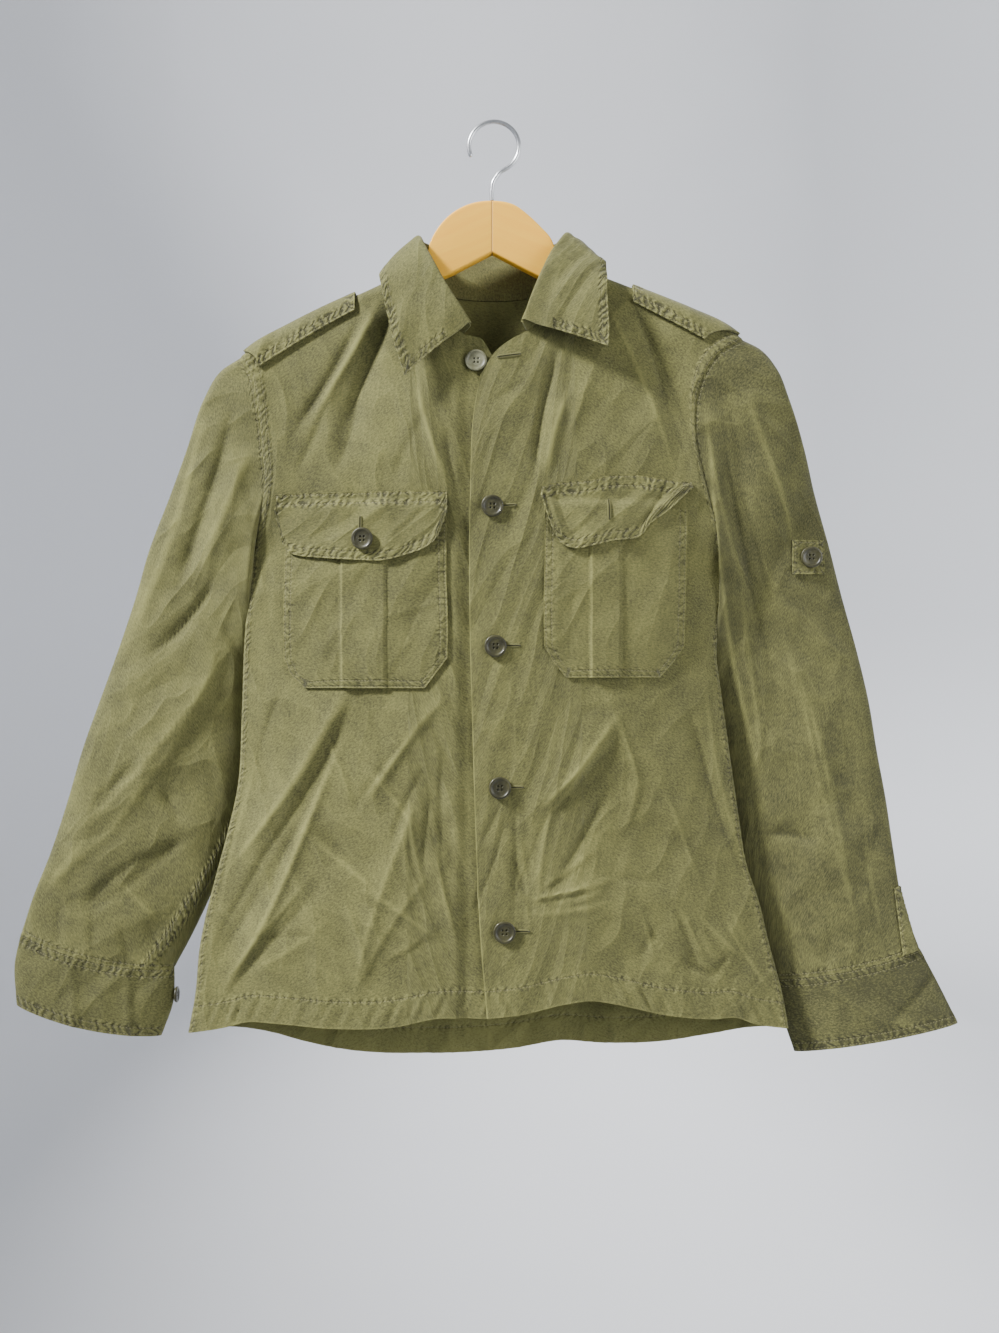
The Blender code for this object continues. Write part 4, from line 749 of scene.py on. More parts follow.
def row_shares():
    """Shares down a front's or the back's grid, whose upper rows follow the armhole."""
    lower = np.linspace(ARM_SHARE, 1.0, SIDE_STEPS + 1)[1:]
    return np.concatenate([arm_shares() * ARM_SHARE, lower])


def front_columns():
    """Shares across a front's grid: over the neck, then over the shoulder."""
    neck = np.linspace(0, NECK_SHARE, NECK_STEPS + 1)
    return np.concatenate([neck, np.linspace(NECK_SHARE, 1.0, SHOULDER_STEPS + 1)[1:]])


def patch(top, bottom, start, end, rows, columns, pulls):
    """Patch between four edges: straight from top to bottom, and near its first and last
    columns moved onto the start and end edges by powers of the share across."""
    v = rows[:, None, None]
    s = columns[None, :, None]
    down = (1 - v) * top[None] + v * bottom[None]
    to_start = (1 - s) ** pulls[0] * (start[:, None] - down[:, :1])
    to_end = s ** pulls[1] * (end[:, None] - down[:, -1:])
    return down + to_start + to_end


def front_grid(side):
    """Outer skin of a front, from its front edge to the armhole and side seam."""
    columns = front_columns()
    neck = along(NECKLINE[side], np.linspace(0, 1, NECK_STEPS + 1)[:-1])
    ridge = along(SHOULDER[side], np.linspace(0, 1, SHOULDER_STEPS + 1))
    bottom = along(FRONT_HEM[side], columns)
    rows = row_shares()
    flat = patch(np.vstack([neck, ridge]), bottom, along(FRONT_EDGE[side], rows),
                 side_rows(side), rows, columns, FRONT_PULLS)
    x, z = flat[..., 0], flat[..., 1]
    y = body_y("front", x, z)
    if side == "left":
        y = y + lap(x)
    y[0, NECK_STEPS:] = 0.0
    y[ARM_STEPS:, -1] = 0.0
    return grid_of(x, y, z)


def back_grid():
    """Outer skin of the back, from the left side to the right one."""
    steps = SHOULDER_STEPS // 2
    ridge = {side: along(SHOULDER[side], np.linspace(0, 1, steps + 1)) for side in SIDES}
    wing = (1.0 - np.linspace(1.0, NECK_SHARE, steps + 1)) / 2.0
    across = np.linspace(0, 1, NECK_STEPS + 1)
    neck = along(BACK_NECK, across)[1:-1]
    middle = (wing[-1] + (1.0 - 2.0 * wing[-1]) * across)[1:-1]
    columns = np.concatenate([wing, middle, 1.0 - wing[::-1]])
    top = np.vstack([ridge["left"][::-1], neck, ridge["right"]])
    bottom = along(BACK_HEM, columns)
    flat = patch(top, bottom, side_rows("left"), side_rows("right"), row_shares(), columns,
                 BACK_PULLS)
    x, z = flat[..., 0], flat[..., 1]
    y = body_y("back", x, z)
    y[0, :steps + 1] = 0.0
    y[0, -steps - 1:] = 0.0
    y[ARM_STEPS:, [0, -1]] = 0.0
    return grid_of(x, y, z)


def ring_line(outer, inner, shares, dip):
    """Points from the outer to the inner edge of a sleeve section, bowed down by dip."""
    line = outer + (inner - outer) * shares[:, None]
    line[:, 1] -= dip * 4.0 * shares * (1.0 - shares)
    return line


def ring_shares():
    """Even turns round a half ring, as shares of the way across it: (1 - cos t) / 2."""
    return (1.0 - np.cos(np.linspace(0, math.pi, ARM_STEPS + 1))) / 2.0


def sleeve_grid(side):
    """Rings of a sleeve: down its front face from the outer edge, and back up behind."""
    table = np.array(SLEEVE_DEPTH)
    arm_share = arm_shares()
    arm = along(ARMHOLE[side], arm_share)
    even = ring_shares()
    along_share = np.linspace(0, 1, SLEEVE_STEPS + 1) ** SLEEVE_SPACING
    outer = along(SLEEVE_OUTER[side], along_share)
    inner = along(SLEEVE_INNER[side], along_share)
    chord = arm[0] + (arm[-1] - arm[0]) * arm_share[:, None]
    body = {}
    for face in ("front", "back"):
        body[face] = np.abs(half_depth(side, face, arm[:, 0], arm[:, 1]))
        body[face][[0, -1]] = 0.0
    rings = []
    for row, share in enumerate(along_share):
        leave = smooth(share / SLEEVE_LEAVE)
        shares = arm_share + (even - arm_share) * leave
        line = ring_line(outer[row], inner[row], shares, CUFF_SEAM_DIP[side] * share**3)
        line = line + (arm - chord) * (1.0 - leave)
        x, z = line[:, 0], line[:, 1]
        centre = np.interp(share, table[:, 0], table[:, 1])
        middle = 4 * shares * (1 - shares)
        half = np.interp(share, table[:, 0], table[:, 2]) * np.sqrt(middle)
        loose = smooth(share / SLEEVE_LOOSE[0]) * middle
        loose = loose * smooth((1.0 - share) / SLEEVE_LOOSE[1] + 0.25)
        ridges = folds(SLEEVE_FOLDS[side], x, z)
        halves = []
        for face, sign, lift in (("front", -1.0, 1.0), ("back", 1.0, SLEEVE_BACK_FOLDS)):
            depth = body[face] + (half - body[face]) * leave
            halves.append(grid_of(x, centre + sign * (depth + lift * ridges * loose), z))
        rings.append(np.vstack([halves[0], halves[1][-2:0:-1]]))
    return np.array(rings)


def cuff_grid(side):
    """Rings of a cuff, from the sleeve's last ring to the cuff's own hem."""
    even = ring_shares()
    centre, half = SLEEVE_DEPTH[-1][1:]
    shares = np.linspace(0, 1, CUFF_STEPS + 1)
    outer = along(CUFF_OUTER[side], shares)
    inner = along(CUFF_INNER[side], shares)
    depth = half * np.sqrt(4 * even * (1 - even))
    rings = []
    for row, share in enumerate(shares):
        dip = CUFF_SEAM_DIP[side] + (CUFF_HEM_DIP[side] - CUFF_SEAM_DIP[side]) * share
        line = ring_line(outer[row], inner[row], even, dip)
        front = grid_of(line[:, 0], centre - depth, line[:, 1])
        back = grid_of(line[:, 0], centre + depth, line[:, 1])
        rings.append(np.vstack([front, back[-2:0:-1]]))
    return np.array(rings)


def lengths(grid, axis):
    """Length from a grid's first row or column to each point, along the grid's own lines."""
    steps = np.linalg.norm(np.diff(grid, axis=axis), axis=-1)
    total = np.cumsum(steps, axis=axis)
    pad = [(1, 0), (0, 0)] if axis == 0 else [(0, 0), (1, 0)]
    return np.pad(total, pad)


def border(grid, sides):
    """Distance from every point to the nearest of the named edges, and the length along that
    edge. The edges are top, bottom, start and end: the first and last rows and columns."""
    down, across = lengths(grid, 0), lengths(grid, 1)
    tall, wide = down[-1].max(), across.max()
    far = {"top": down, "bottom": down[-1:] - down, "start": across,
           "end": across[:, -1:] - across}
    run = {"top": across, "bottom": across + tall + wide, "start": down + 2 * wide,
           "end": down + 3 * wide + tall}
    gap = np.full(down.shape, FAR)
    place = np.zeros(down.shape)
    for side in sides.split():
        nearer = far[side] < gap
        gap = np.where(nearer, far[side], gap)
        place = np.where(nearer, run[side], place)
    return place, gap


def normals(grid, outward, wrap=False):
    """Unit normals of a grid, all turned to the side that most of them should face."""
    if wrap:
        wide = np.concatenate([grid[:, -1:], grid, grid[:, :1]], axis=1)
        across = np.gradient(wide, axis=1)[:, 1:-1]
    else:
        across = np.gradient(grid, axis=1)
    normal = np.cross(np.gradient(grid, axis=0), across)
    normal /= np.maximum(np.linalg.norm(normal, axis=-1, keepdims=True), 1e-9)
    return normal * np.sign(np.sum(normal * outward))


def puckers(channel, seam):
    """Sewing's small ripples: waves along a seam, between its stitch rows and a little way
    past the last one, deeper in some stretches than in others."""
    place, gap = channel
    reach, pitch, height, seed = RIPPLES[seam]
    wave = np.sin(2 * math.pi * place / pitch + 2.2 * wander(place, pitch * 5.3, seed))
    strength = 0.65 + 0.35 * wander(place, pitch * 9.0, seed + 1.0)
    inside = smooth(gap / 1.5) * (1.0 - smooth((gap - reach) / 5.0))
    return height * wave * strength * inside


def sway(s, size):
    """Uneven wave over s, whose size holds its height, its length and its seed."""
    height, length, seed = size
    return height * wander(s, length, seed)


def add_mesh(name, points, faces, uv, finish):
    """Mesh object from points in millimetres, quads, and a table of UV maps by name."""
    mesh = bpy.data.meshes.new(name)
    count = len(faces)
    mesh.vertices.add(len(points))
    mesh.vertices.foreach_set("co", (np.asarray(points) * MM).astype(np.float32).ravel())
    mesh.loops.add(count * 4)
    mesh.loops.foreach_set("vertex_index", np.asarray(faces, np.int32).ravel())
    mesh.polygons.add(count)
    mesh.polygons.foreach_set("loop_start", np.arange(0, count * 4, 4, dtype=np.int32))
    mesh.update(calc_edges=True)
    for layer, values in uv.items():
        made = mesh.uv_layers.new(name=layer)
        made.data.foreach_set("uv", np.asarray(values, np.float32).ravel())
    mesh.materials.append(finish)
    mesh.shade_smooth()
    mesh.set_sharp_from_angle(angle=math.radians(CLOTH_SHARP))
    mesh.validate()
    made = bpy.data.objects.new(name, mesh)
    bpy.context.collection.objects.link(made)
    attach(made, "root")
    return made


def shell(name, outer, thickness, outward, finish, channels, wrap=False):
    """Thin wall: the outer grid, and the same grid one cloth thickness inside it, closed by
    rims. A channel is the place along an edge and the distance from it, kept as a UV map."""
    rows, columns = outer.shape[:2]
    inner = outer - normals(outer, outward, wrap) * thickness
    points = np.vstack([outer.reshape(-1, 3), inner.reshape(-1, 3)])
    count = rows * columns
    last = columns if wrap else columns - 1
    j, i = np.meshgrid(np.arange(rows - 1), np.arange(last), indexing="ij")
    corners = np.stack([(j, i), (j + 1, i), (j + 1, i + 1), (j, i + 1)], axis=-1)
    corners = corners.reshape(2, -1, 4)
    face = corners[0] * columns + corners[1] % columns
    blocks = [face, face[:, ::-1] + count]
    spots = [corners, corners[:, :, ::-1]]
    rims = [(0, 1, True), (rows - 1, 1, False)]
    if not wrap:
        rims += [(0, 0, False), (columns - 1, 0, True)]
    for fixed, axis, turned in rims:
        run = np.arange(last if axis else rows - 1)
        still = np.full_like(run, fixed)
        first = np.stack([still, run] if axis else [run, still])
        second = first + np.array([[0], [1]] if axis else [[1], [0]])
        pair = [first, second] if turned else [second, first]
        numbers = [spot[0] * columns + spot[1] % columns for spot in pair]
        blocks.append(np.stack([numbers[0], numbers[1], numbers[1] + count,
                                numbers[0] + count], axis=-1))
        spots.append(np.stack([pair[0], pair[1], pair[1], pair[0]], axis=-1))
    faces = np.vstack(blocks)
    spot = np.concatenate(spots, axis=1)
    a, b, c = points[faces[:, 0]], points[faces[:, 1]], points[faces[:, 2]]
    if np.sum(a * np.cross(b, c)) + np.sum(a * np.cross(c, points[faces[:, 3]])) < 0:
        faces, spot = faces[:, ::-1], spot[:, :, ::-1]
    uv = {}
    for layer, (place, gap) in channels.items():
        if wrap:
            place = np.concatenate([place, place[:, -1:] + (place[:, -1:] - place[:, -2:-1])], 1)
            gap = np.concatenate([gap, gap[:, :1]], axis=1)
        uv[layer] = np.stack([place[spot[0], spot[1]], gap[spot[0], spot[1]]], axis=-1)
    return add_mesh(name, points, faces, uv, finish)


def cloth_map(grid):
    """Channel that gives the cloth's own surface: lengths across it and down it."""
    return lengths(grid, 1), lengths(grid, 0)


def flat_cut(grid, wrap=False):
    """Width, length and area of a piece laid flat, in metres, from its grid's own lines."""
    closed = np.concatenate([grid, grid[:, :1]], axis=1) if wrap else grid
    width = lengths(closed, 1)[:, -1].max()
    length = lengths(closed, 0)[-1].max()
    first = closed[1:, 1:] - closed[:-1, :-1]
    second = closed[1:, :-1] - closed[:-1, 1:]
    area = np.linalg.norm(np.cross(first, second), axis=-1).sum() / 2
    return width * MM, length * MM, min(area * MM * MM, width * length * MM * MM)


def declare(piece, node, grid, wrap=False):
    """Hide the solid that a cloth piece stands for, and work out the size that it was cut to,
    which is not kept.
    """
    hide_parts(node)
    width, length, area = flat_cut(grid, wrap)
    return piece


class Value:
    """A number from a material's nodes, which takes part in sums and products."""

    def __init__(self, finish, socket):
        self.finish = finish
        self.socket = socket

    def maths(self, operation, *others):
        """Math node on this value and the others."""
        inputs = dict(enumerate((self, *others)))
        return self.finish.add("ShaderNodeMath", {"operation": operation}, inputs).first()

    def __add__(self, other):
        return self.maths("ADD", other)

    __radd__ = __add__

    def __mul__(self, other):
        return self.maths("MULTIPLY", other)

    __rmul__ = __mul__

    def __sub__(self, other):
        return self.maths("SUBTRACT", other)

    def __rsub__(self, other):
        return (self * -1.0).maths("ADD", other)

    def __truediv__(self, other):
        return self.maths("DIVIDE", other)

    def __abs__(self):
        return self.maths("ABSOLUTE")

    def sine(self):
        return self.maths("SINE")

    def clamp(self):
        """Kept between 0 and 1."""
        return self.maths("MAXIMUM", 0.0).maths("MINIMUM", 1.0)

    def step(self, low, high):
        """Ease from 0 at low to 1 at high."""
        settings = {"interpolation_type": "SMOOTHSTEP"}
        inputs = {0: self, 1: low, 2: high, 3: 0.0, 4: 1.0}
        return self.finish.add("ShaderNodeMapRange", settings, inputs).first()


class Added:
    """A node that has been added, and its outputs as values."""

    def __init__(self, finish, node):
        self.finish = finish
        self.node = node

    def first(self):
        return Value(self.finish, self.node.outputs[0])

    def output(self, key):
        return Value(self.finish, self.node.outputs[key])


class Finish:
    """One material, and the one way in which a node is added to it."""

    def __init__(self, name):
        self.material = bpy.data.materials.new(name)
        self.material.use_nodes = True
        self.tree = self.material.node_tree
        self.tree.nodes.clear()

    def add(self, kind, settings, inputs):
        """Node of a kind, its settings first and then the values or links of its sockets."""
        node = self.tree.nodes.new(kind)
        for key, value in settings.items():
            setattr(node, key, value)
        for key, value in inputs.items():
            if isinstance(value, Value):
                self.tree.links.new(value.socket, node.inputs[key])
            else:
                node.inputs[key].default_value = value
        return Added(self, node)

    def place(self):
        """Where a point lies on its object."""
        return self.add("ShaderNodeTexCoord", {}, {}).output("Object")

    def noise(self, vector, scale, detail=3.0, roughness=0.55):
        inputs = {"Vector": vector, "Scale": scale, "Detail": detail, "Roughness": roughness}
        return self.add("ShaderNodeTexNoise", {}, inputs).output("Fac")

    def channel(self, layer):
        """The place along an edge and the distance from it, from a UV map."""
        uv = self.add("ShaderNodeUVMap", {"uv_map": layer}, {}).first()
        split = self.add("ShaderNodeSeparateXYZ", {}, {0: uv})
        return split.output(0), split.output(1)

    def cells(self, place, scale):
        """Distance to the nearest edge between cells with straight edges."""
        settings = {"feature": "DISTANCE_TO_EDGE"}
        return self.add("ShaderNodeTexVoronoi", settings, {0: place, 2: scale}).output(0)

    def vector(self, x, y, z=0.0):
        return self.add("ShaderNodeCombineXYZ", {}, {0: x, 1: y, 2: z}).first()

    def blend(self, share, first, second):
        """Colour between two colours, by a share."""
        settings = {"data_type": "RGBA", "clamp_factor": True}
        return self.add("ShaderNodeMix", settings, {0: share, 6: first, 7: second}).output(2)

    def surface(self, colour, roughness, height, sheen=0.0, metallic=0.0, coat=0.0):
        """Principled surface with a bump whose height is in millimetres."""
        bump = self.add("ShaderNodeBump", {}, {"Height": height, "Distance": MM}).first()
        inputs = {"Base Color": colour, "Roughness": roughness, "Normal": bump,
                  "Metallic": metallic, "Sheen Weight": sheen, "Coat Weight": coat}
        shader = self.add("ShaderNodeBsdfPrincipled", {}, inputs).first()
        self.add("ShaderNodeOutputMaterial", {}, {"Surface": shader})
        return self.material


def colour(values):
    """Opaque colour from red, green and blue."""
    return (*values, 1.0)


def seam_wear_and_shade(made, seam, pale, height, thread):
    """The tone and height of cloth with one seam's ripples, stitch rows and rubbed edge, and
    where thread shows. Ripples are sines along the seam whose phase and strength wander; their
    crests are paler by wear, and their notches and the stitch grooves darker by painted shade."""
    look = bpy.context.scene.utility_shirt.cloth
    layer, rows, strength = seam
    run, gap = made.channel(layer)
    shift = made.noise(made.vector(run * 0.05, gap * 0.10), 1.0, 2.0)
    wave = (run * (2 * math.pi / look.pucker_pitch) + shift * 20.0).sine()
    uneven = made.noise(made.vector(run * 0.10, 5.0), 1.0, 2.0).step(0.32, 0.62)
    power = uneven * (0.75 * strength) + 0.25 * strength
    notch, crest = wave.step(0.05, 0.95), (wave * -1.0).step(-0.1, 1.0)
    rub = (1.0 - gap.step(0.3, 2.0)) * gap.step(-1.0, 0.0)
    pale = pale + rub * (0.30 * strength)
    for row in rows:
        near = abs(gap - row)
        reach = (1.0 - near.step(1.0, 4.6)) * power
        height = height + reach * (crest - notch) * look.pucker_depth
        # Ripple crests paler by wear, and notches darker by painted shade.
        pale = pale + reach * (crest * 0.34 - notch * 0.60)
        groove = 1.0 - near.step(0.0, 1.1)
        dash = (run * (2 * math.pi / look.stitch_length)).sine().step(-0.7, 0.2)
        stitch = (1.0 - near.step(0.15, 0.5)) * dash
        height = height - groove * 0.4 + stitch * 0.35
        # Painted shade in the stitch groove.
        pale = pale - groove * 0.18
        thread = stitch if thread is None else thread.maths("MAXIMUM", stitch)
    return pale, height, thread


def cloth_finish(name, seams, tone_and_shade=0.0, worn=(), creased=False):
    """Washed cotton twill, mottled and lightly crumpled. The crumple's crests are where
    straight-edged cells meet, and where a noise crosses its middle value; a painted highlight
    makes them paler. The seams, with their wear and painted shade, and the pale edges, some worn
    and some with painted light, are rows of SEAMS and of the pale-edge table. Creased cloth has a
    UV map of its creases' painted highlight, which also stands for wear, and painted shade."""
    look = bpy.context.scene.utility_shirt.cloth
    made = Finish(name)
    place = made.place()
    across, down = made.channel("cloth")
    wash = made.noise(place, 7.0, 3.0, 0.55)
    mottle = made.noise(place, 48.0, 3.0, 0.6)
    fleck = made.noise(made.vector(across * 0.42, down * 0.62), 1.0, 4.0, 0.85)
    drift = made.noise(place, 7.0, 2.0) * 0.45
    slant = made.vector(across * 0.015 + down * 0.008 + drift, down * 0.008 + drift)
    bent = made.cells(slant, 1.0)
    long = made.noise(made.vector(across * 0.020 + down * 0.008, down * 0.009), 1.0, 2.0, 0.35)
    twill = ((across + down) * (2 * math.pi / look.weave_pitch)).sine()
    bumps = bent * 6.5 + abs(long - 0.5) * 9.5
    height = (mottle - 0.5) * 0.7 + (fleck - 0.5) * 0.14 + twill * 0.03 - bumps * look.crumple
    pale = (wash - 0.5) * 0.45 + (mottle - 0.5) * 0.70 + (fleck - 0.5) * 2.6
    # Painted highlight: the crumple's crests, where cells meet and where the long noise is at its
    # middle, are made paler.
    sharp = (1.0 - bent.step(0.0, 0.025)) * 0.05
    sharp = sharp + (1.0 - abs(long - 0.5).step(0.0, 0.03)) * 0.08
    # Each piece's tone: painted shade on the right sleeve and right cuff, and painted light and
    # shade on the pockets.
    pale = pale + sharp * look.crumple + (0.48 + tone_and_shade)
    if creased:
        # Painted highlight on the creases' crests, which also stands for wear, and painted shade
        # in their troughs.
        crease_shade_and_wear = made.channel("crease")[0] + (fleck - 0.5) * 0.3
        pale = pale + crease_shade_and_wear * look.crease_wear_and_shading
    thread = None
    for seam in seams:
        pale, height, thread = seam_wear_and_shade(made, seam, pale, height, thread)
    # Paler edges: wear, painted highlights at the fronts' edge and the pocket pleat's left edge,
    # and painted light along the back's hem.
    for layer, strength, reach in worn:
        gap = made.channel(layer)[1]
        pale = pale + (1.0 - gap.step(0.3 * reach, reach)) * strength
    base = made.blend(pale.clamp(), colour(look.dark), colour(look.pale))
    if thread is not None:
        base = made.blend(thread * 0.5, base, colour(look.thread))
    rough = 0.88 + (mottle - 0.5) * 0.12
    return made.surface(base, rough, height, sheen=0.08)


def button_finish(name, dark, worn):
    """Moulded button, paler where it has worn, with fine scratches."""
    made = Finish(name)
    place = made.place()
    swirl = made.noise(place, 130.0, 3.0)
    fine = made.noise(place, 900.0, 2.0)
    base = made.blend(swirl.step(0.25, 0.8), colour(dark), colour(worn))
    return made.surface(base, 0.34 + fine * 0.15, fine * 0.05, coat=0.15)


def wood_finish(name):
    """Varnished beech: long grain along each arm, broken at the joint in the middle. The
    grain is noise stretched along lines that follow the arm's slope."""
    look = bpy.context.scene.utility_shirt.trim
    made = Finish(name)
    split = made.add("ShaderNodeSeparateXYZ", {}, {0: made.place()})
    x, y, z = split.output(0), split.output(1), split.output(2)
    off = abs(x - CHEVRON[0] * MM)
    level = z + off * 0.42
    side = x.maths("GREATER_THAN", CHEVRON[0] * MM)
    grain = made.noise(made.vector(off * 9.0 + side * 7.0, y * 40.0, level * 150.0), 1.0, 4.0)
    pores = made.noise(made.vector(off * 60.0, y * 900.0, level * 1400.0), 1.0, 2.0)
    joint = 1.0 - off.step(0.0002, 0.0009)
    tone = (grain * 0.9 + pores * 0.2 - 0.1).clamp()
    base = made.blend(tone, colour(look.wood_dark), colour(look.wood))
    base = made.blend(joint * 0.75, base, colour(look.wood_joint))
    height = pores * 0.05 + grain * 0.08 - joint * 0.4
    return made.surface(base, 0.6 + pores * 0.15, height, coat=0.03)


def steel_finish(name):
    """Drawn steel wire, a little dulled."""
    made = Finish(name)
    streak = made.noise(made.place(), 420.0, 3.0)
    base = made.blend(streak, colour((0.42, 0.43, 0.44)), colour((0.72, 0.73, 0.74)))
    return made.surface(base, 0.22 + streak * 0.2, streak * 0.02, metallic=1.0)


def hem_waves(place, gap):
    """Uneven ripples that slant through a turned hem, deepest halfway down it."""
    pitch, height = HEM_WAVE
    wave = wander(place + 0.5 * gap, pitch, 3.0) * (0.6 + 0.4 * wander(place, 9 * pitch, 1.0))
    return height * wave * smooth(gap / 6.0) * (1.0 - smooth((gap - 14.0) / 12.0))


def body_piece(name, node, grid, table, outward, arms, edge, finish):
    """Panel of the body: raised felled seams at its armholes and sides, and a turned hem."""
    arm = border(grid, arms)
    hem = border(grid, "bottom")
    raised = FELL_RAISE * (1.0 - smooth((arm[1] - FELL) / 1.2)) * smooth(arm[1])
    raised = raised + HEM_RAISE * (1.0 - smooth((hem[1] - HEM) / 1.5))
    raised = raised + puckers(arm, "body") + hem_waves(*hem)
    raised[:, [0, -1]] = 0.0
    outer = grid + normals(grid, outward) * raised[..., None]
    # Painted highlight on the creases' crests, also standing for wear, and painted shade in their
    # troughs, kept in the 'crease' map.
    worn = crests(table, grid[..., 0], grid[..., 2])
    # The 'worn' map carries a front's edge line, wear and painted highlight, and the back's paler
    # band below its top; the back's 'hem' map also carries painted light.
    channels = {"cloth": cloth_map(grid), "arm": arm, "hem": hem, "worn": border(grid, edge),
                "crease": (worn, 0.0 * worn)}
    piece = shell(name, outer, CLOTH, outward, finish, channels)
    return declare(piece, node, grid)


def tube_outward(rings):
    """Way out from the middle of each ring of a tube."""
    return rings - rings.mean(axis=1, keepdims=True)


def ring_border(rings):
    """Channel for a tube's two ends: place along the ring, and distance to the nearer end."""
    down = lengths(rings, 0)
    return lengths(rings, 1), np.minimum(down, down[-1:] - down)


def sleeve_fell(side, rings):
    """Channel of the felled seam: down the sleeve, and from the seam's inner row outwards."""
    table = np.array(SLEEVE_FELL[side], float)
    share = np.linspace(0, 1, len(rings))
    offset = np.interp(share, table[:, 0], table[:, 1])[:, None]
    turn = lengths(rings, 1)
    return lengths(rings, 0), turn[:, ARM_STEPS:ARM_STEPS + 1] - offset - turn + FELL_START


def sleeve_piece(side, rings, finish):
    """Sleeve with ripples at its ends and a raised felled seam down its inner edge."""
    ends = ring_border(rings)
    fell = sleeve_fell(side, rings)
    width = 1.0 - smooth((fell[1] - SLEEVE_FELL_WIDTH) / 1.2)
    lift = puckers(ends, "sleeve_ends") + SLEEVE_FELL_RAISE * smooth(fell[1] / 1.2) * width
    lift = lift + puckers(fell, "sleeve_fell") * smooth(ends[1] / 12.0)
    outward = tube_outward(rings)
    outer = rings + normals(rings, outward, True) * lift[..., None]
    # Painted highlight on the creases' crests, also standing for wear, and painted shade in their
    # troughs.
    worn = crests(SLEEVE_FOLDS[side], rings[..., 0], rings[..., 2])
    channels = {"cloth": cloth_map(rings), "ends": ends, "fell": fell,
                "crease": (worn, 0.0 * worn)}
    piece = shell("sleeve_%s_cloth" % side, outer, CLOTH, outward, finish, channels, True)
    return declare(piece, "sleeve_" + side, rings, True)


def cuff_piece(side, finish):
    """Cuff with ripples at both of its edges, and folds on its front half only."""
    cuff = cuff_grid(side)
    ends = ring_border(cuff)
    front = smooth((SLEEVE_DEPTH[-1][1] - cuff[..., 1]) / 3.0)
    lift = puckers(ends, "cuff_" + side) + CUFF_RAISE
    lift = lift + folds(CUFF_FOLDS[side], cuff[..., 0], cuff[..., 2]) * front
    outward = tube_outward(cuff)
    outer = cuff + normals(cuff, outward, True) * lift[..., None]
    channels = {"cloth": cloth_map(cuff), "ends": ends}
    piece = shell("cuff_%s_cloth" % side, outer, CUFF_CLOTH, outward, finish, channels, True)
    return declare(piece, "cuff_" + side, cuff, True)


def collar_grid():
    """The collar's sections, up the stand, over the roll and down the leaf, made smooth."""
    sections = []
    for place, column, *lines in COLLAR:
        table = BACK_NECK if place == "back" else NECKLINE[place]
        share = (BACK_NECK_COLUMNS if place == "back" else FRONT_NECK)[column]
        x, z = along(table, [share])[0]
        y = float(body_y("back" if place == "back" else "front", np.array(x), np.array(z)))
        y = 0.0 if share in (0, 1) else y
        if place == "left":
            y += float(lap(x))
        roll, edge = np.array(lines, float).reshape(2, 3)
        seam = np.array([x, y, z])
        fall = edge - roll
        out = np.array([fall[0], fall[1], 0.0])
        out /= np.linalg.norm(out)
        section = [seam + (roll - seam) * u for u in (0.0, STAND_TOP / 2, STAND_TOP)]
        section.append(roll + (out + UP) * CREST)
        for u in LEAF_STATIONS:
            crown = LEAF_CROWN * math.sin(math.pi * u) + ROLL_FULLNESS * (1.0 - u)
            section.append(roll + fall * u + out * crown)
        sections.append(section)
    return refine(np.array(sections), *COLLAR_GRID)


def collar_piece(finish):
    """Collar whose leaf alone is rippled and stitched: the stand counts as far from an edge."""
    grid = collar_grid()
    outward = np.zeros(grid.shape)
    outward[:, LEAF_COLUMN:] = grid[:, LEAF_COLUMN:] - COLLAR_MIDDLE
    run = lengths(grid, 1)
    leaf = smooth((run / run[:, -1:] - LEAF_START[0]) / LEAF_START[1])
    place, gap = border(grid, "top bottom end")
    edge = place, np.where(leaf > 0.0, gap, COLLAR_STAND_GAP)
    wave = (puckers(edge, "collar") + sway(lengths(grid, 0), COLLAR_SWING)) * leaf
    outer = grid + normals(grid, outward) * (COLLAR_CLOTH + wave)[..., None]
    channels = {"cloth": cloth_map(grid), "edge": edge}
    piece = shell("collar_cloth", outer, COLLAR_CLOTH, outward, finish, channels)
    return declare(piece, "collar", grid)


def laid_points(base, lift):
    """Points moved out from the panel's own points along their normals."""
    return base + normals(base, OUT_FRONT) * np.asarray(lift)[..., None]


def pocket_lift(side, x, z, ease=PLEAT_SIDE):
    """Height that a pocket's puff and pleat add; the pleat's sides fade over the ease."""
    rows = np.array(POCKET[side]["rows"], float)[::-1]
    left = np.interp(z, rows[:, 0], rows[:, 1])
    right = np.interp(z, rows[:, 0], rows[:, 2])
    share = np.clip((x - left) / (right - left), 0, 1)
    height = np.clip((z - rows[0, 0]) / (rows[-1, 0] - rows[0, 0]), 0, 1)
    puff = POCKET_PUFF * np.clip(16 * share * (1 - share) * height * (1 - height), 0, 1) ** 0.7
    first, last = POCKET[side]["pleat"]
    pleat = PLEAT_RAISE * smooth((x - first) / ease + 1.0) * smooth((last - x) / ease + 1.0)
    return puff + pleat


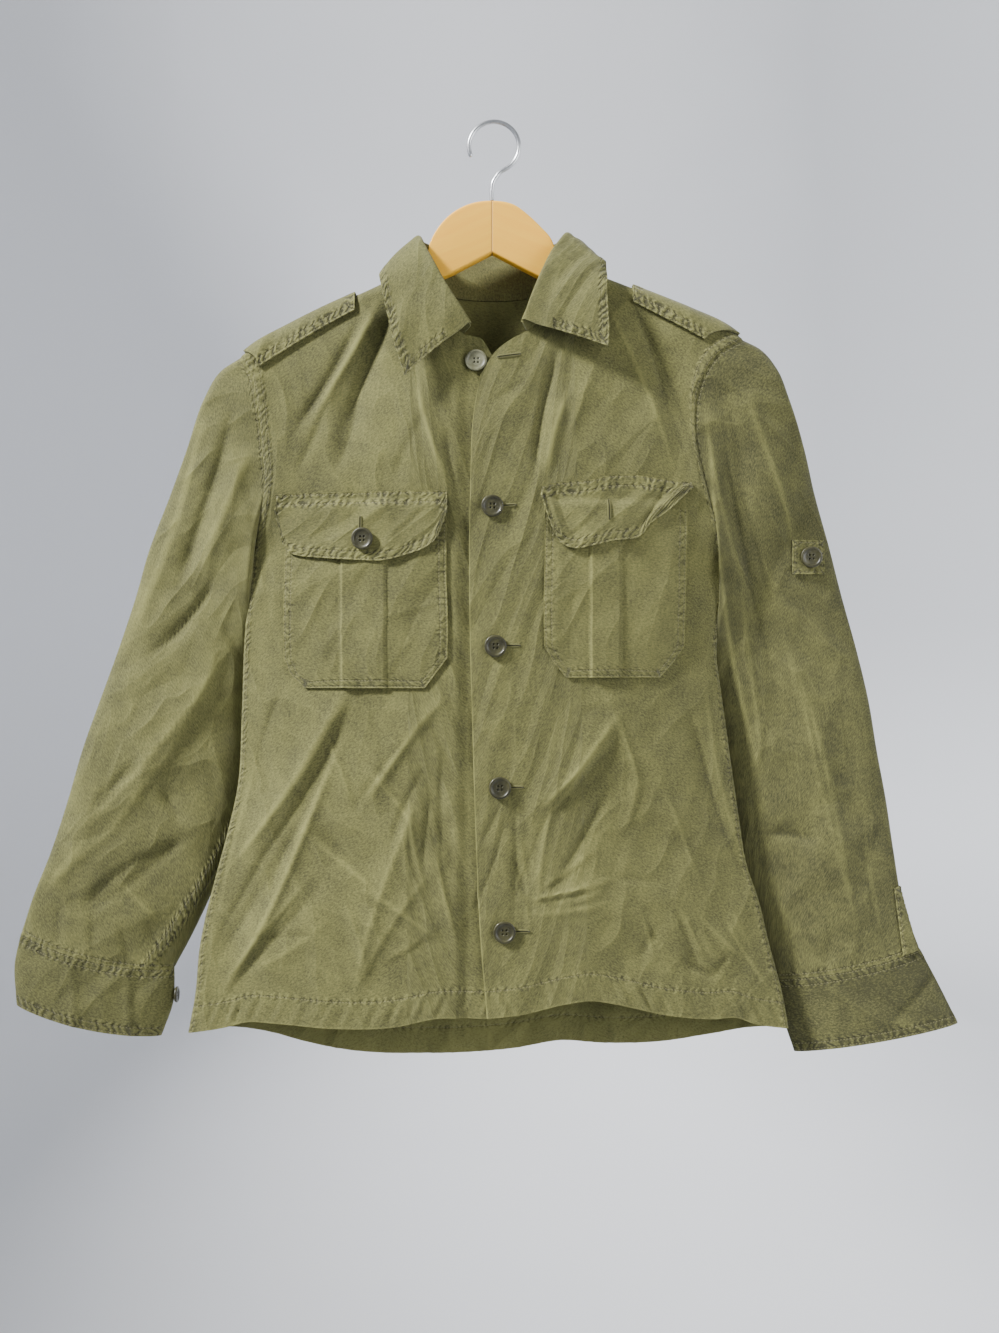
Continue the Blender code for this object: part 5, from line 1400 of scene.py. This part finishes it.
def pocket_piece(side, finish):
    """Pocket: even columns from its edges to the pleat, and over the pleat."""
    rows = np.array(POCKET[side]["rows"], float)
    first, last = POCKET[side]["pleat"]
    z = np.linspace(rows[0, 0], rows[-1, 0], POCKET_ROWS)
    left = np.interp(-z, -rows[:, 0], rows[:, 1])
    right = np.interp(-z, -rows[:, 0], rows[:, 2])
    wobble = sway(z, PLEAT_WOBBLE)
    beside, over = POCKET_COLUMNS
    stations = [np.linspace(left, first - PLEAT_SIDE + wobble, beside),
                np.linspace(first + wobble, last + wobble, over),
                np.linspace(last + PLEAT_SIDE + wobble, right, beside)]
    x = np.concatenate(stations).T
    z = z[:, None] + np.zeros(x.shape)
    base = grid_of(x, body_y("front", x, z), z)
    edge = border(base, "start end bottom")
    lift = pocket_lift(side, x - wobble[:, None], z) + puckers(edge, "pocket_" + side)
    lift = lift + folds(POCKET_FOLDS, x, z) * smooth(edge[1] / 12.0)
    outer = laid_points(base, LAID_GAP + CLOTH + lift)
    # The 'worn' map is the distance from the pleat's left edge, where a painted highlight is
    # laid.
    channels = {"cloth": cloth_map(base), "edge": edge, "worn": (z, np.abs(x - first))}
    piece = shell("pocket_%s_cloth" % side, outer, CLOTH, OUT_FRONT, finish, channels)
    return declare(piece, "pocket_" + side, base)


def flap_base(side):
    """Points of the front under a flap, with the shares down it and the curl of its ends."""
    rows, columns = FLAP_GRID
    table = np.array(FLAP[side], float)
    fine = curve(table, np.arange(len(table)), np.linspace(0, len(table) - 1, columns))
    shares = np.linspace(0, 1, rows)[:, None]
    x = fine[:, 0] + np.zeros(shares.shape)
    z = fine[:, 1] + (fine[:, 2] - fine[:, 1]) * shares
    ends = np.abs(np.linspace(-1, 1, columns))[None, :] ** 3
    return grid_of(x, body_y("front", x, z), z), shares, ends


def flap_lift(side, base, down, ends):
    """How far a flap's underside lies off the front: over its pocket, and curled at its ends."""
    top = POCKET[side]["rows"][0][0]
    over = smooth((top + FLAP_STEP - base[..., 2]) / FLAP_STEP)
    pocket = (pocket_lift(side, base[..., 0], base[..., 2], FLAP_EASE) + CLOTH + FLAP_GAP) * over
    return LAID_GAP + pocket + FLAP_CURL[side] * down**2 * ends


def flap_piece(side, finish):
    """Flap with ripples at its top and its free edges, which swings a little below."""
    base, down, ends = flap_base(side)
    top = border(base, "top")
    edge = border(base, "start end bottom")
    below = smooth(top[1] / 8.0)
    lift = flap_lift(side, base, down, ends) + FLAP_CLOTH
    lift = lift + puckers(top, "flap_top") * smooth(edge[1] / 3.0)
    lift = lift + puckers(edge, "flap_edge") * below + sway(base[..., 0], FLAP_SWING) * down**2
    lift = lift + folds(FLAP_FOLDS[side], base[..., 0], base[..., 2]) * below
    outer = laid_points(base, lift)
    channels = {"cloth": cloth_map(base), "top": top, "edge": edge}
    piece = shell("flap_%s_cloth" % side, outer, FLAP_CLOTH, OUT_FRONT, finish, channels)
    return declare(piece, "flap_" + side, base)


def ridge_drop(reach):
    """Drop below the shoulder ridge at a distance measured over its rounded top."""
    quarter = RIDGE_RADIUS * math.pi / 2
    size = np.abs(reach)
    drop = np.where(size < quarter, RIDGE_RADIUS * (1 - np.cos(size / RIDGE_RADIUS)),
                    RIDGE_RADIUS + size - quarter)
    return drop / SHOULDER_COSINE


def over_ridge(side, x, reach):
    """Body point at a distance over the shoulder: positive down the front, negative behind."""
    z = shoulder_line(side, x) - ridge_drop(reach)
    front = -half_depth(side, "front", x, z)
    back = half_depth(side, "back", x, z)
    return grid_of(x, np.where(reach >= 0, front, back), z)


def strap_piece(side, finish):
    """Strap over the shoulder's ridge, its reach in front and behind even along it."""
    size = STRAP[side]
    rows, columns = (np.linspace(0, 1, count) for count in STRAP_GRID)
    front = size["front"][0] + (size["front"][1] - size["front"][0]) * columns
    behind = size["back"][0] + (size["back"][1] - size["back"][0]) * columns
    reach = front[None, :] - (front + behind)[None, :] * rows[:, None]
    end = body_edge(side, ARMHOLE[side][0][1] - ridge_drop(reach[:, -1]))
    end = end - np.sign(end) * STRAP_INSET
    x = size["start"] + (end[:, None] - size["start"]) * columns[None, :]
    base = over_ridge(side, x, reach)
    outward = base - STRAP_MIDDLE
    edge = border(base, "top bottom start")
    lift = STRAP_GAP + STRAP_CLOTH + puckers(edge, "strap")
    outer = base + normals(base, outward) * lift[..., None]
    channels = {"cloth": cloth_map(base), "edge": edge}
    piece = shell("strap_%s_cloth" % side, outer, STRAP_CLOTH, outward, finish, channels)
    return declare(piece, "strap_" + side, base)


def tube_surface(rings, x, z):
    """y of a tube's front half over x, z: the mean of its nearest points, by distance."""
    half = rings[:, :ARM_STEPS + 1].reshape(-1, 3)
    flat = np.stack([np.ravel(x), np.ravel(z)], axis=-1)
    gap = np.linalg.norm(flat[:, None] - half[None, :, [0, 2]], axis=-1)
    nearest = np.argpartition(gap, 8, axis=1)[:, :8]
    weight = 1.0 / (np.take_along_axis(gap, nearest, 1) + 0.3) ** 2
    y = (half[nearest, 1] * weight).sum(axis=1) / weight.sum(axis=1)
    return y.reshape(np.shape(x))


def patch_piece(rings, finish):
    """Square patch that lies on the sleeve under its button."""
    x = np.linspace(*SLEEVE_PATCH["x"], PATCH_STEPS)[None, :] + np.zeros((PATCH_STEPS, 1))
    z = np.linspace(*SLEEVE_PATCH["z"], PATCH_STEPS)[::-1, None] + np.zeros((1, PATCH_STEPS))
    base = grid_of(x, tube_surface(rings, x, z), z)
    edge = border(base, "top bottom start end")
    outer = laid_points(base, LAID_GAP + PATCH_CLOTH + puckers(edge, "patch"))
    channels = {"cloth": cloth_map(base), "edge": edge}
    piece = shell("sleeve_patch_cloth", outer, PATCH_CLOTH, OUT_FRONT, finish, channels)
    return declare(piece, "sleeve_patch", base)


def placket_piece(rings, finish):
    """Strip that finishes the slit above the right cuff, on the sleeve's front."""
    rows, columns = (np.linspace(0, 1, count) for count in PLACKET_GRID)
    slit, rim = (np.array(PLACKET[key], float) for key in ("slit", "rim"))
    first = slit[0] + (slit[1] - slit[0]) * rows[:, None]
    last = rim[0] + (rim[1] - rim[0]) * rows[:, None]
    flat = first[:, None] + (last - first)[:, None] * columns[None, :, None]
    x, z = flat[..., 0], flat[..., 1]
    base = grid_of(x, tube_surface(rings, x, z), z)
    edge = border(base, "top start")
    outer = laid_points(base, CLOTH + PLACKET_RAISE * (1.0 + smooth(edge[1] / 1.5)))
    channels = {"cloth": cloth_map(base), "edge": edge}
    piece = shell("placket_right", outer, CLOTH, OUT_FRONT, finish, channels)
    return piece


def ring_faces(rows, columns):
    """Quads between neighbouring rows of a grid that closes on itself across."""
    j, i = np.meshgrid(np.arange(rows - 1), np.arange(columns), indexing="ij")
    k = (i + 1) % columns
    return np.stack([j * columns + i, (j + 1) * columns + i, (j + 1) * columns + k,
                     j * columns + k], axis=-1).reshape(-1, 4)


def ring_mesh(name, grid, finish):
    """Closed mesh from rings whose first and last ones are gathered to a point."""
    faces = ring_faces(*grid.shape[:2])
    piece = add_mesh(name, grid.reshape(-1, 3), faces, {}, finish)
    close_poles(piece)
    return piece


def button_points(radius):
    """Turned button: a raised rim round a dished face with four sewing holes, as a polar
    grid from the middle of the face over the rim to the middle of the back."""
    rows, columns = BUTTON_GRID
    profile = along(BUTTON_PROFILE, np.linspace(0, 1, rows))
    turn = np.linspace(0, 2 * math.pi, columns, endpoint=False)
    across = profile[:, :1] * radius * np.cos(turn)
    up = profile[:, :1] * radius * np.sin(turn)
    out = profile[:, 1:] * BUTTON_HEIGHT + np.zeros(turn.shape)
    face = (np.arange(rows) < BUTTON_FACE_ROWS)[:, None]
    hole, ease, depth = BUTTON_HOLE
    off = BUTTON_HOLE_PLACE * radius
    for sx in (-1, 1):
        for sz in (-1, 1):
            away = np.hypot(across - sx * off, up - sz * off)
            out = out - face * depth * BUTTON_HEIGHT * (1.0 - smooth((away - hole) / ease))
    return across, up, out


def button_piece(node, normal, finish):
    """Fine button on the place and facing of its solid."""
    low, high = (np.array(corner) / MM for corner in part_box(node))
    normal = np.array(normal) / np.linalg.norm(normal)
    side = np.cross(normal, UP)
    side /= np.linalg.norm(side)
    up = np.cross(side, normal)
    centre = (low + high) / 2 - normal * BUTTON_HEIGHT / 2
    across, rise, out = button_points((high - low).max() / 2)
    grid = centre + across[..., None] * side + rise[..., None] * up + out[..., None] * normal
    piece = ring_mesh(node + "_fine", grid, finish)
    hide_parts(node)
    return piece


def button_facing(node):
    """Way that a button on the front faces, from the slope of the cloth under it."""
    low, high = (np.array(corner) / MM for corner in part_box(node))
    x, z = (low[0] + high[0]) / 2, (low[2] + high[2]) / 2
    reach = np.array([-BUTTON_SLOPE_REACH, BUTTON_SLOPE_REACH])
    still = np.zeros(2)
    run = np.diff(reach)[0]
    sideways = np.diff(body_y("front", x + reach, z + still))[0] / run
    upwards = np.diff(body_y("front", x + still, z + reach))[0] / run
    return sideways, -1.0, upwards


def close_poles(piece):
    """Join the points that meet at a pole, and turn the faces outwards."""
    work = bmesh.new()
    work.from_mesh(piece.data)
    bmesh.ops.remove_doubles(work, verts=work.verts, dist=1e-6)
    bmesh.ops.recalc_face_normals(work, faces=work.faces)
    work.to_mesh(piece.data)
    work.free()
    piece.data.shade_smooth()
    piece.data.set_sharp_from_angle(angle=math.radians(RING_SHARP))


def buttonhole_piece(index, where, x, z, angle, length, finish):
    """Worked buttonhole: a long oval of thread with a slit down its middle."""
    rows, columns = BUTTONHOLE_GRID
    v = np.linspace(-1, 1, rows)[:, None]
    t = np.linspace(-1, 1, columns)[None, :]
    taper = np.sqrt(np.clip(1.0 - np.abs(t) ** 8, 0, 1)) * BUTTONHOLE_HALF_WIDTH + 0.05
    a, b = t * length / 2 + 0 * v, v * taper
    turn = math.radians(angle)
    px = x + a * math.cos(turn) - b * math.sin(turn)
    pz = z + a * math.sin(turn) + b * math.cos(turn)
    base = grid_of(px, body_y("front", px, pz), pz)
    lift = BUTTONHOLE_LIFT + BUTTONHOLE_RAISE * (1.0 - v**2)
    lift = lift - BUTTONHOLE_SLIT * np.exp(-(b / 0.35) ** 2) * (np.abs(t) < 0.86)
    if where != "front":
        down = np.interp(-z, FLAP_HEIGHTS, (0, 1))
        lift = lift + flap_lift(where.split("_")[1], base, down, 0.0) + FLAP_CLOTH
    outer = laid_points(base, lift)
    piece = shell("buttonhole_%d" % index, outer, BUTTONHOLE_CLOTH, OUT_FRONT, finish,
                  {"cloth": (a, b)})
    return piece


def thread_finish(name):
    """Buttonhole thread: close stitches across the slit, which is painted near black as painted
    shade.
    """
    look = bpy.context.scene.utility_shirt.cloth
    made = Finish(name)
    run, off = made.channel("cloth")
    stitch = (run * (2 * math.pi / 0.9)).sine()
    slit = 1.0 - abs(off).step(0.25, 0.55)
    base = made.blend((stitch * 0.25 + 0.5).clamp(), colour(look.dark), colour(look.pale))
    # Painted shade in the slit.
    base = made.blend(slit * 0.85, base, colour((0.02, 0.018, 0.01)))
    return made.surface(base, 0.8, stitch * 0.12 - slit * 0.5)


def wood_outline():
    """Top and bottom edges of the hanger's wood, station by station from left to right."""
    arms = {}
    for side, span in ARM_SPAN.items():
        x = np.linspace(*span, ARM_STATIONS)
        gap = np.interp(np.abs(x), *WOOD_TOP_GAP)
        arms[side] = np.column_stack([x, shoulder_line(side, x) - gap])
    top = np.vstack([arms["left"], ARCH, arms["right"][::-1]])
    reach = np.abs(top[:, 0])
    arm = top[:, 1] - np.interp(reach, ARM_REACH, ARM_DEPTH)
    chevron = CHEVRON[1] - CHEVRON_SLOPE * np.abs(top[:, 0] - CHEVRON[0])
    return top, chevron + (arm - chevron) * smooth((reach - WOOD_BLEND[0]) / WOOD_BLEND[1])


def squared(wave):
    """A sine or cosine bent towards -1 and 1, which squares a circle's section."""
    return np.sign(wave) * np.abs(wave) ** WOOD_SQUARE


def wood_piece(finish):
    """Board with well rounded edges: a rounded oblong carried along the hanger's outline."""
    stations, turns = WOOD_GRID
    top, bottom = wood_outline()
    upper = along(top, np.linspace(0, 1, stations))
    high, low = upper[:, 1:], np.interp(upper[:, 0], top[:, 0], bottom)[:, None]
    angle = np.linspace(0, 2 * math.pi, turns, endpoint=False)
    cy, cz = squared(np.cos(angle)), squared(np.sin(angle))
    z = (high + low) / 2 + cz * (high - low) / 2
    z = np.where(cz > 0, np.maximum(z, high - (1 - cz) * WOOD_CORNER), z)
    z = np.where(cz < 0, np.minimum(z, low + (1 + cz) * WOOD_CORNER), z)
    still = np.zeros(z.shape)
    grid = grid_of(upper[:, :1] + still, cy * WOOD_HALF_THICKNESS + still, z)
    ends = [ring.mean(axis=1, keepdims=True) + 0 * ring for ring in (grid[:1], grid[-1:])]
    piece = ring_mesh("hanger_wood_fine", np.concatenate([ends[0], grid, ends[1]]), finish)
    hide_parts("hanger_wood")
    return piece


def hook_piece(finish):
    """Wire hook: a circle carried along the stem and round the bend, with a domed end."""
    stations, turns = HOOK_GRID
    stem = along(HOOK_STEM, np.linspace(0, 1, 30))
    angles = np.radians(np.linspace(*HOOK_TURN, 90))
    ring = np.column_stack([HOOK_RADIUS * np.cos(angles),
                            HOOK_WIRE - HOOK_RADIUS + HOOK_RADIUS * np.sin(angles)])
    path = along(np.vstack([stem, ring]), np.linspace(0, 1, stations))
    tangent = np.gradient(path, axis=0)
    tangent /= np.linalg.norm(tangent, axis=1)[:, None]
    size = np.full(len(path), HOOK_WIRE)
    size[-HOOK_DOME:] = HOOK_WIRE * np.sqrt(1.0 - np.linspace(0, 1, HOOK_DOME) ** 2)
    size[0] = 0.0
    angle = np.linspace(0, 2 * math.pi, turns, endpoint=False)
    across = size[:, None] * np.cos(angle)
    x = path[:, :1] - tangent[:, 1:] * across
    z = path[:, 1:] + tangent[:, :1] * across
    piece = ring_mesh("hanger_hook_fine", grid_of(x, size[:, None] * np.sin(angle), z), finish)
    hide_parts("hanger_hook")
    return piece


class ClothLook(bpy.types.PropertyGroup):
    """Colours and sizes of the cloth."""
    dark: FloatVectorProperty(name="Dark cloth", description="Cloth in its deepest tone",
                              subtype="COLOR", default=(0.0318, 0.0312, 0.0052))
    pale: FloatVectorProperty(name="Pale cloth", description="Cloth where it is worn pale",
                              subtype="COLOR", default=(0.180, 0.1765, 0.0515))
    thread: FloatVectorProperty(name="Thread", description="Sewing thread",
                                subtype="COLOR", default=(0.25, 0.23, 0.10))
    weave_pitch: FloatProperty(name="Weave pitch", description="Twill line to line, in mm",
                               default=1.1, min=0.3, max=4.0)
    pucker_pitch: FloatProperty(name="Ripple pitch", description="Seam ripple length, in mm",
                                default=7.0, min=2.0, max=20.0)
    pucker_depth: FloatProperty(name="Ripple depth", description="Seam ripple height, in mm",
                                default=0.55, min=0.0, max=3.0)
    crumple: FloatProperty(name="Crumple", description="Strength of the fine crease lines",
                           default=1.0, min=0.0, max=3.0)
    # Strength of the creases' pale crests, wear and painted highlight, and of the painted shade
    # in their troughs.
    crease_wear_and_shading: FloatProperty(name="Crease wear", description="How pale the creases' crests are",
                               default=0.46, min=0.0, max=1.0)
    stitch_length: FloatProperty(name="Stitch length", description="Stitch to stitch, in mm",
                                 default=2.8, min=1.0, max=6.0)


class TrimLook(bpy.types.PropertyGroup):
    """Colours of the buttons and the hanger."""
    button: FloatVectorProperty(name="Button", description="Button, unworn",
                                subtype="COLOR", default=(0.016, 0.015, 0.004))
    button_worn: FloatVectorProperty(name="Worn button", description="Button, worn",
                                     subtype="COLOR", default=(0.052, 0.049, 0.016))
    button_dull: FloatVectorProperty(name="Dull button", description="Top button, unworn",
                                     subtype="COLOR", default=(0.09, 0.09, 0.045))
    button_pale: FloatVectorProperty(name="Pale button", description="Bleached top button",
                                     subtype="COLOR", default=(0.20, 0.20, 0.125))
    wood: FloatVectorProperty(name="Wood", description="Pale grain",
                              subtype="COLOR", default=(1.0, 0.60, 0.045))
    wood_dark: FloatVectorProperty(name="Dark wood", description="Dark grain",
                                   subtype="COLOR", default=(0.90, 0.40, 0.016))
    wood_joint: FloatVectorProperty(name="Wood joint", description="Joint in the middle",
                                    subtype="COLOR", default=(0.42, 0.22, 0.08))


class StageLook(bpy.types.PropertyGroup):
    """Camera and light."""
    distance: FloatProperty(name="Camera distance", description="From the shirt's plane",
                            unit="LENGTH", default=1.3, min=0.5, max=5.0)
    lens: FloatProperty(name="Lens", description="Focal length on a 36 mm tall picture",
                        unit="CAMERA", default=39.9, min=10.0, max=200.0)
    key: FloatProperty(name="Key light", description="Strength of the left light",
                       default=10.4, min=0.0, max=50.0)
    key_angle: FloatProperty(name="Key size", description="How wide the left light looks",
                             unit="ROTATION", default=0.16, min=0.0, max=3.0)
    fill: FloatProperty(name="Fill light", description="Power of the right light in watts",
                        default=25.0, min=0.0, max=500.0)
    world: FloatProperty(name="Room light", description="Strength of the light all round",
                         default=0.45, min=0.0, max=5.0)


class UtilityShirt(bpy.types.PropertyGroup):
    """All settings of the shirt."""
    cloth: PointerProperty(type=ClothLook)
    trim: PointerProperty(type=TrimLook)
    stage: PointerProperty(type=StageLook)


def floor_paint():
    """Pale paint with painted shade that darkens it evenly from left to right, as light from the
    left would, and soft blotches.
    """
    made = Finish("floor_paint")
    place = made.place()
    tone = made.noise(place, 1.4, 2.0)
    split = made.add("ShaderNodeSeparateXYZ", {}, {0: place})
    shade = split.output(0) * 0.45 + (0.5 + (tone - 0.5) * 0.1)
    base = made.blend(shade, colour(WALL_PALE), colour(WALL_SHADED))
    return made.surface(base, 0.9, tone * 0.1)


def add_floor():
    """Floor and wall in one: a profile turned round the upright axis, its faces inwards."""
    rows, columns = FLOOR_GRID
    line = along(np.array(FLOOR_PROFILE) / MM, np.linspace(0, 1, rows))
    turn = np.linspace(0, 2 * math.pi, columns, endpoint=False)
    grid = grid_of(line[:, :1] * np.cos(turn), line[:, :1] * np.sin(turn),
                   line[:, 1:] + np.zeros(turn.shape))
    paint = floor_paint()
    faces = ring_faces(rows, columns)[:, [0, 3, 2, 1]]
    mesh = bpy.data.meshes.new("floor")
    mesh.from_pydata((grid.reshape(-1, 3) * MM).tolist(), [], faces.tolist())
    mesh.materials.append(paint)
    mesh.shade_smooth()
    floor = bpy.data.objects.new("floor", mesh)
    bpy.context.collection.objects.link(floor)


def add_light(name, kind, place, power):
    """Light at a place, turned towards the middle of the shirt."""
    light = bpy.data.lights.new(name, kind)
    light.energy = power
    made = bpy.data.objects.new(name, light)
    made.location = place
    aim = Vector(LIT_PLACE) - Vector(place)
    made.rotation_euler = aim.to_track_quat("-Z", "Y").to_euler()
    bpy.context.collection.objects.link(made)
    return light


def add_lights(look):
    """The two lights and the light of the room."""
    key = add_light("key_light", "SUN", KEY_PLACE, look.key)
    key.angle = look.key_angle
    fill = add_light("fill_light", "AREA", FILL_PLACE, look.fill)
    fill.size = FILL_SIZE
    world = bpy.data.worlds.new("room")
    world.use_nodes = True
    room = world.node_tree.nodes["Background"]
    room.inputs["Color"].default_value = colour(ROOM_COLOUR)
    room.inputs["Strength"].default_value = look.world
    bpy.context.scene.world = world


def add_camera(look):
    """Camera that faces the shirt squarely, as in the photo."""
    lens = bpy.data.cameras.new("camera")
    lens.sensor_fit = "VERTICAL"
    lens.sensor_height = PICTURE_HEIGHT
    lens.lens = look.lens
    camera = bpy.data.objects.new("camera", lens)
    camera.location = (CAMERA_PLACE[0] * MM, -look.distance, CAMERA_PLACE[1] * MM)
    camera.rotation_euler = (math.radians(90), 0.0, 0.0)
    bpy.context.collection.objects.link(camera)
    bpy.context.scene.camera = camera


class SHIRT_OT_stage(bpy.types.Operator):
    """Make the floor, the lights and the camera"""
    bl_idname = "shirt.stage"
    bl_label = "Stage"

    def execute(self, context):
        look = context.scene.utility_shirt.stage
        add_floor()
        add_lights(look)
        add_camera(look)
        return {"FINISHED"}


class SHIRT_OT_body(bpy.types.Operator):
    """Make the two fronts and the back"""
    bl_idname = "shirt.body"
    bl_label = "Fronts and Back"

    def execute(self, context):
        finish = cloth_finish("body_cotton", SEAMS["body"], 0.0, WEAR_AND_LIGHT["front"], True)
        behind = cloth_finish("back_cotton", SEAMS["body"], 0.0, WEAR_AND_LIGHT["back"], True)
        for side in SIDES:
            body_piece("front_%s_cloth" % side, "front_" + side, front_grid(side), FRONT_FOLDS,
                       OUT_FRONT, "end", "start", finish)
        body_piece("back_cloth", "back", back_grid(), BACK_FOLDS, OUT_BACK, "start end", "top",
                   behind)
        return {"FINISHED"}


class SHIRT_OT_sleeves(bpy.types.Operator):
    """Make the sleeves, the cuffs and the patch of the roll-up button"""
    bl_idname = "shirt.sleeves"
    bl_label = "Sleeves and Cuffs"

    def execute(self, context):
        cloth, banded = {}, {}
        for side in SIDES:
            cloth[side] = cloth_finish("sleeve_%s_cotton" % side, SEAMS["sleeve"],
                                       TONES_AND_SHADE["sleeve_" + side], creased=True)
        for side in SIDES:
            banded[side] = cloth_finish("cuff_%s_cotton" % side, SEAMS["cuff"],
                                        TONES_AND_SHADE["cuff_" + side])
        for side in SIDES:
            rings = sleeve_grid(side)
            sleeve_piece(side, rings, cloth[side])
            cuff_piece(side, banded[side])
        sewn = cloth_finish("patch_cotton", SEAMS["patch"], TONES_AND_SHADE["patch"])
        patch_piece(rings, sewn)
        placket_piece(rings, sewn)
        return {"FINISHED"}


class SHIRT_OT_collar(bpy.types.Operator):
    """Make the collar, stand and leaf in one"""
    bl_idname = "shirt.collar"
    bl_label = "Collar"

    def execute(self, context):
        collar_piece(cloth_finish("collar_cotton", SEAMS["collar"], TONES_AND_SHADE["collar"]))
        return {"FINISHED"}


class SHIRT_OT_pockets(bpy.types.Operator):
    """Make the chest pockets and their flaps"""
    bl_idname = "shirt.pockets"
    bl_label = "Pockets and Flaps"

    def execute(self, context):
        sewn = {}
        for side in SIDES:
            sewn[side] = cloth_finish("pocket_%s_cotton" % side, SEAMS["pocket"],
                                      TONES_AND_SHADE["pocket_" + side], WEAR_AND_LIGHT["pocket"])
        flap = cloth_finish("flap_cotton", SEAMS["flap"], TONES_AND_SHADE["flap"])
        for side in SIDES:
            pocket_piece(side, sewn[side])
            flap_piece(side, flap)
        return {"FINISHED"}


class SHIRT_OT_straps(bpy.types.Operator):
    """Make the shoulder straps"""
    bl_idname = "shirt.straps"
    bl_label = "Shoulder Straps"

    def execute(self, context):
        finish = cloth_finish("strap_cotton", SEAMS["strap"], TONES_AND_SHADE["strap"])
        for side in SIDES:
            strap_piece(side, finish)
        return {"FINISHED"}


class SHIRT_OT_fastenings(bpy.types.Operator):
    """Make the buttons and the buttonholes"""
    bl_idname = "shirt.fastenings"
    bl_label = "Buttons and Buttonholes"

    def execute(self, context):
        look = context.scene.utility_shirt.trim
        dark = button_finish("button_resin", look.button, look.button_worn)
        pale = button_finish("button_bleached", look.button_dull, look.button_pale)
        for node in BUTTONS:
            facing = OUT_FRONT if node == "button_sleeve" else button_facing(node)
            button_piece(node, facing, pale if node == "button_top" else dark)
        for node, facing in CUFF_BUTTONS.items():
            button_piece(node, facing, dark)
        thread = thread_finish("buttonhole_thread")
        for index, hole in enumerate(BUTTONHOLES):
            buttonhole_piece(index + 1, *hole, thread)
        return {"FINISHED"}


class SHIRT_OT_hanger(bpy.types.Operator):
    """Make the wooden hanger and its wire hook"""
    bl_idname = "shirt.hanger"
    bl_label = "Hanger"

    def execute(self, context):
        wood_piece(wood_finish("beech"))
        hook_piece(steel_finish("hook_steel"))
        return {"FINISHED"}


STEPS = (SHIRT_OT_stage, SHIRT_OT_body, SHIRT_OT_sleeves, SHIRT_OT_collar, SHIRT_OT_pockets,
         SHIRT_OT_straps, SHIRT_OT_fastenings, SHIRT_OT_hanger)


class SHIRT_PT_panel(bpy.types.Panel):
    """Steps that make the shirt, in order"""
    bl_idname = "SHIRT_PT_panel"
    bl_label = "Utility Shirt"
    bl_space_type = "VIEW_3D"
    bl_region_type = "UI"
    bl_category = "Shirt"

    def draw(self, context):
        for step in STEPS:
            self.layout.operator(step.bl_idname)


CLASSES = (ClothLook, TrimLook, StageLook, UtilityShirt, *STEPS, SHIRT_PT_panel)


def register():
    """Add the classes and the scene's settings."""
    for entry in CLASSES:
        bpy.utils.register_class(entry)
    bpy.types.Scene.utility_shirt = PointerProperty(type=UtilityShirt)


def unregister():
    """Take them away again."""
    del bpy.types.Scene.utility_shirt
    for entry in reversed(CLASSES):
        bpy.utils.unregister_class(entry)


def main():
    """Make the whole shirt on its stage."""
    register()
    for step in STEPS:
        group, name = step.bl_idname.split(".")
        getattr(getattr(bpy.ops, group), name)()


if __name__ == "__main__":
    main()
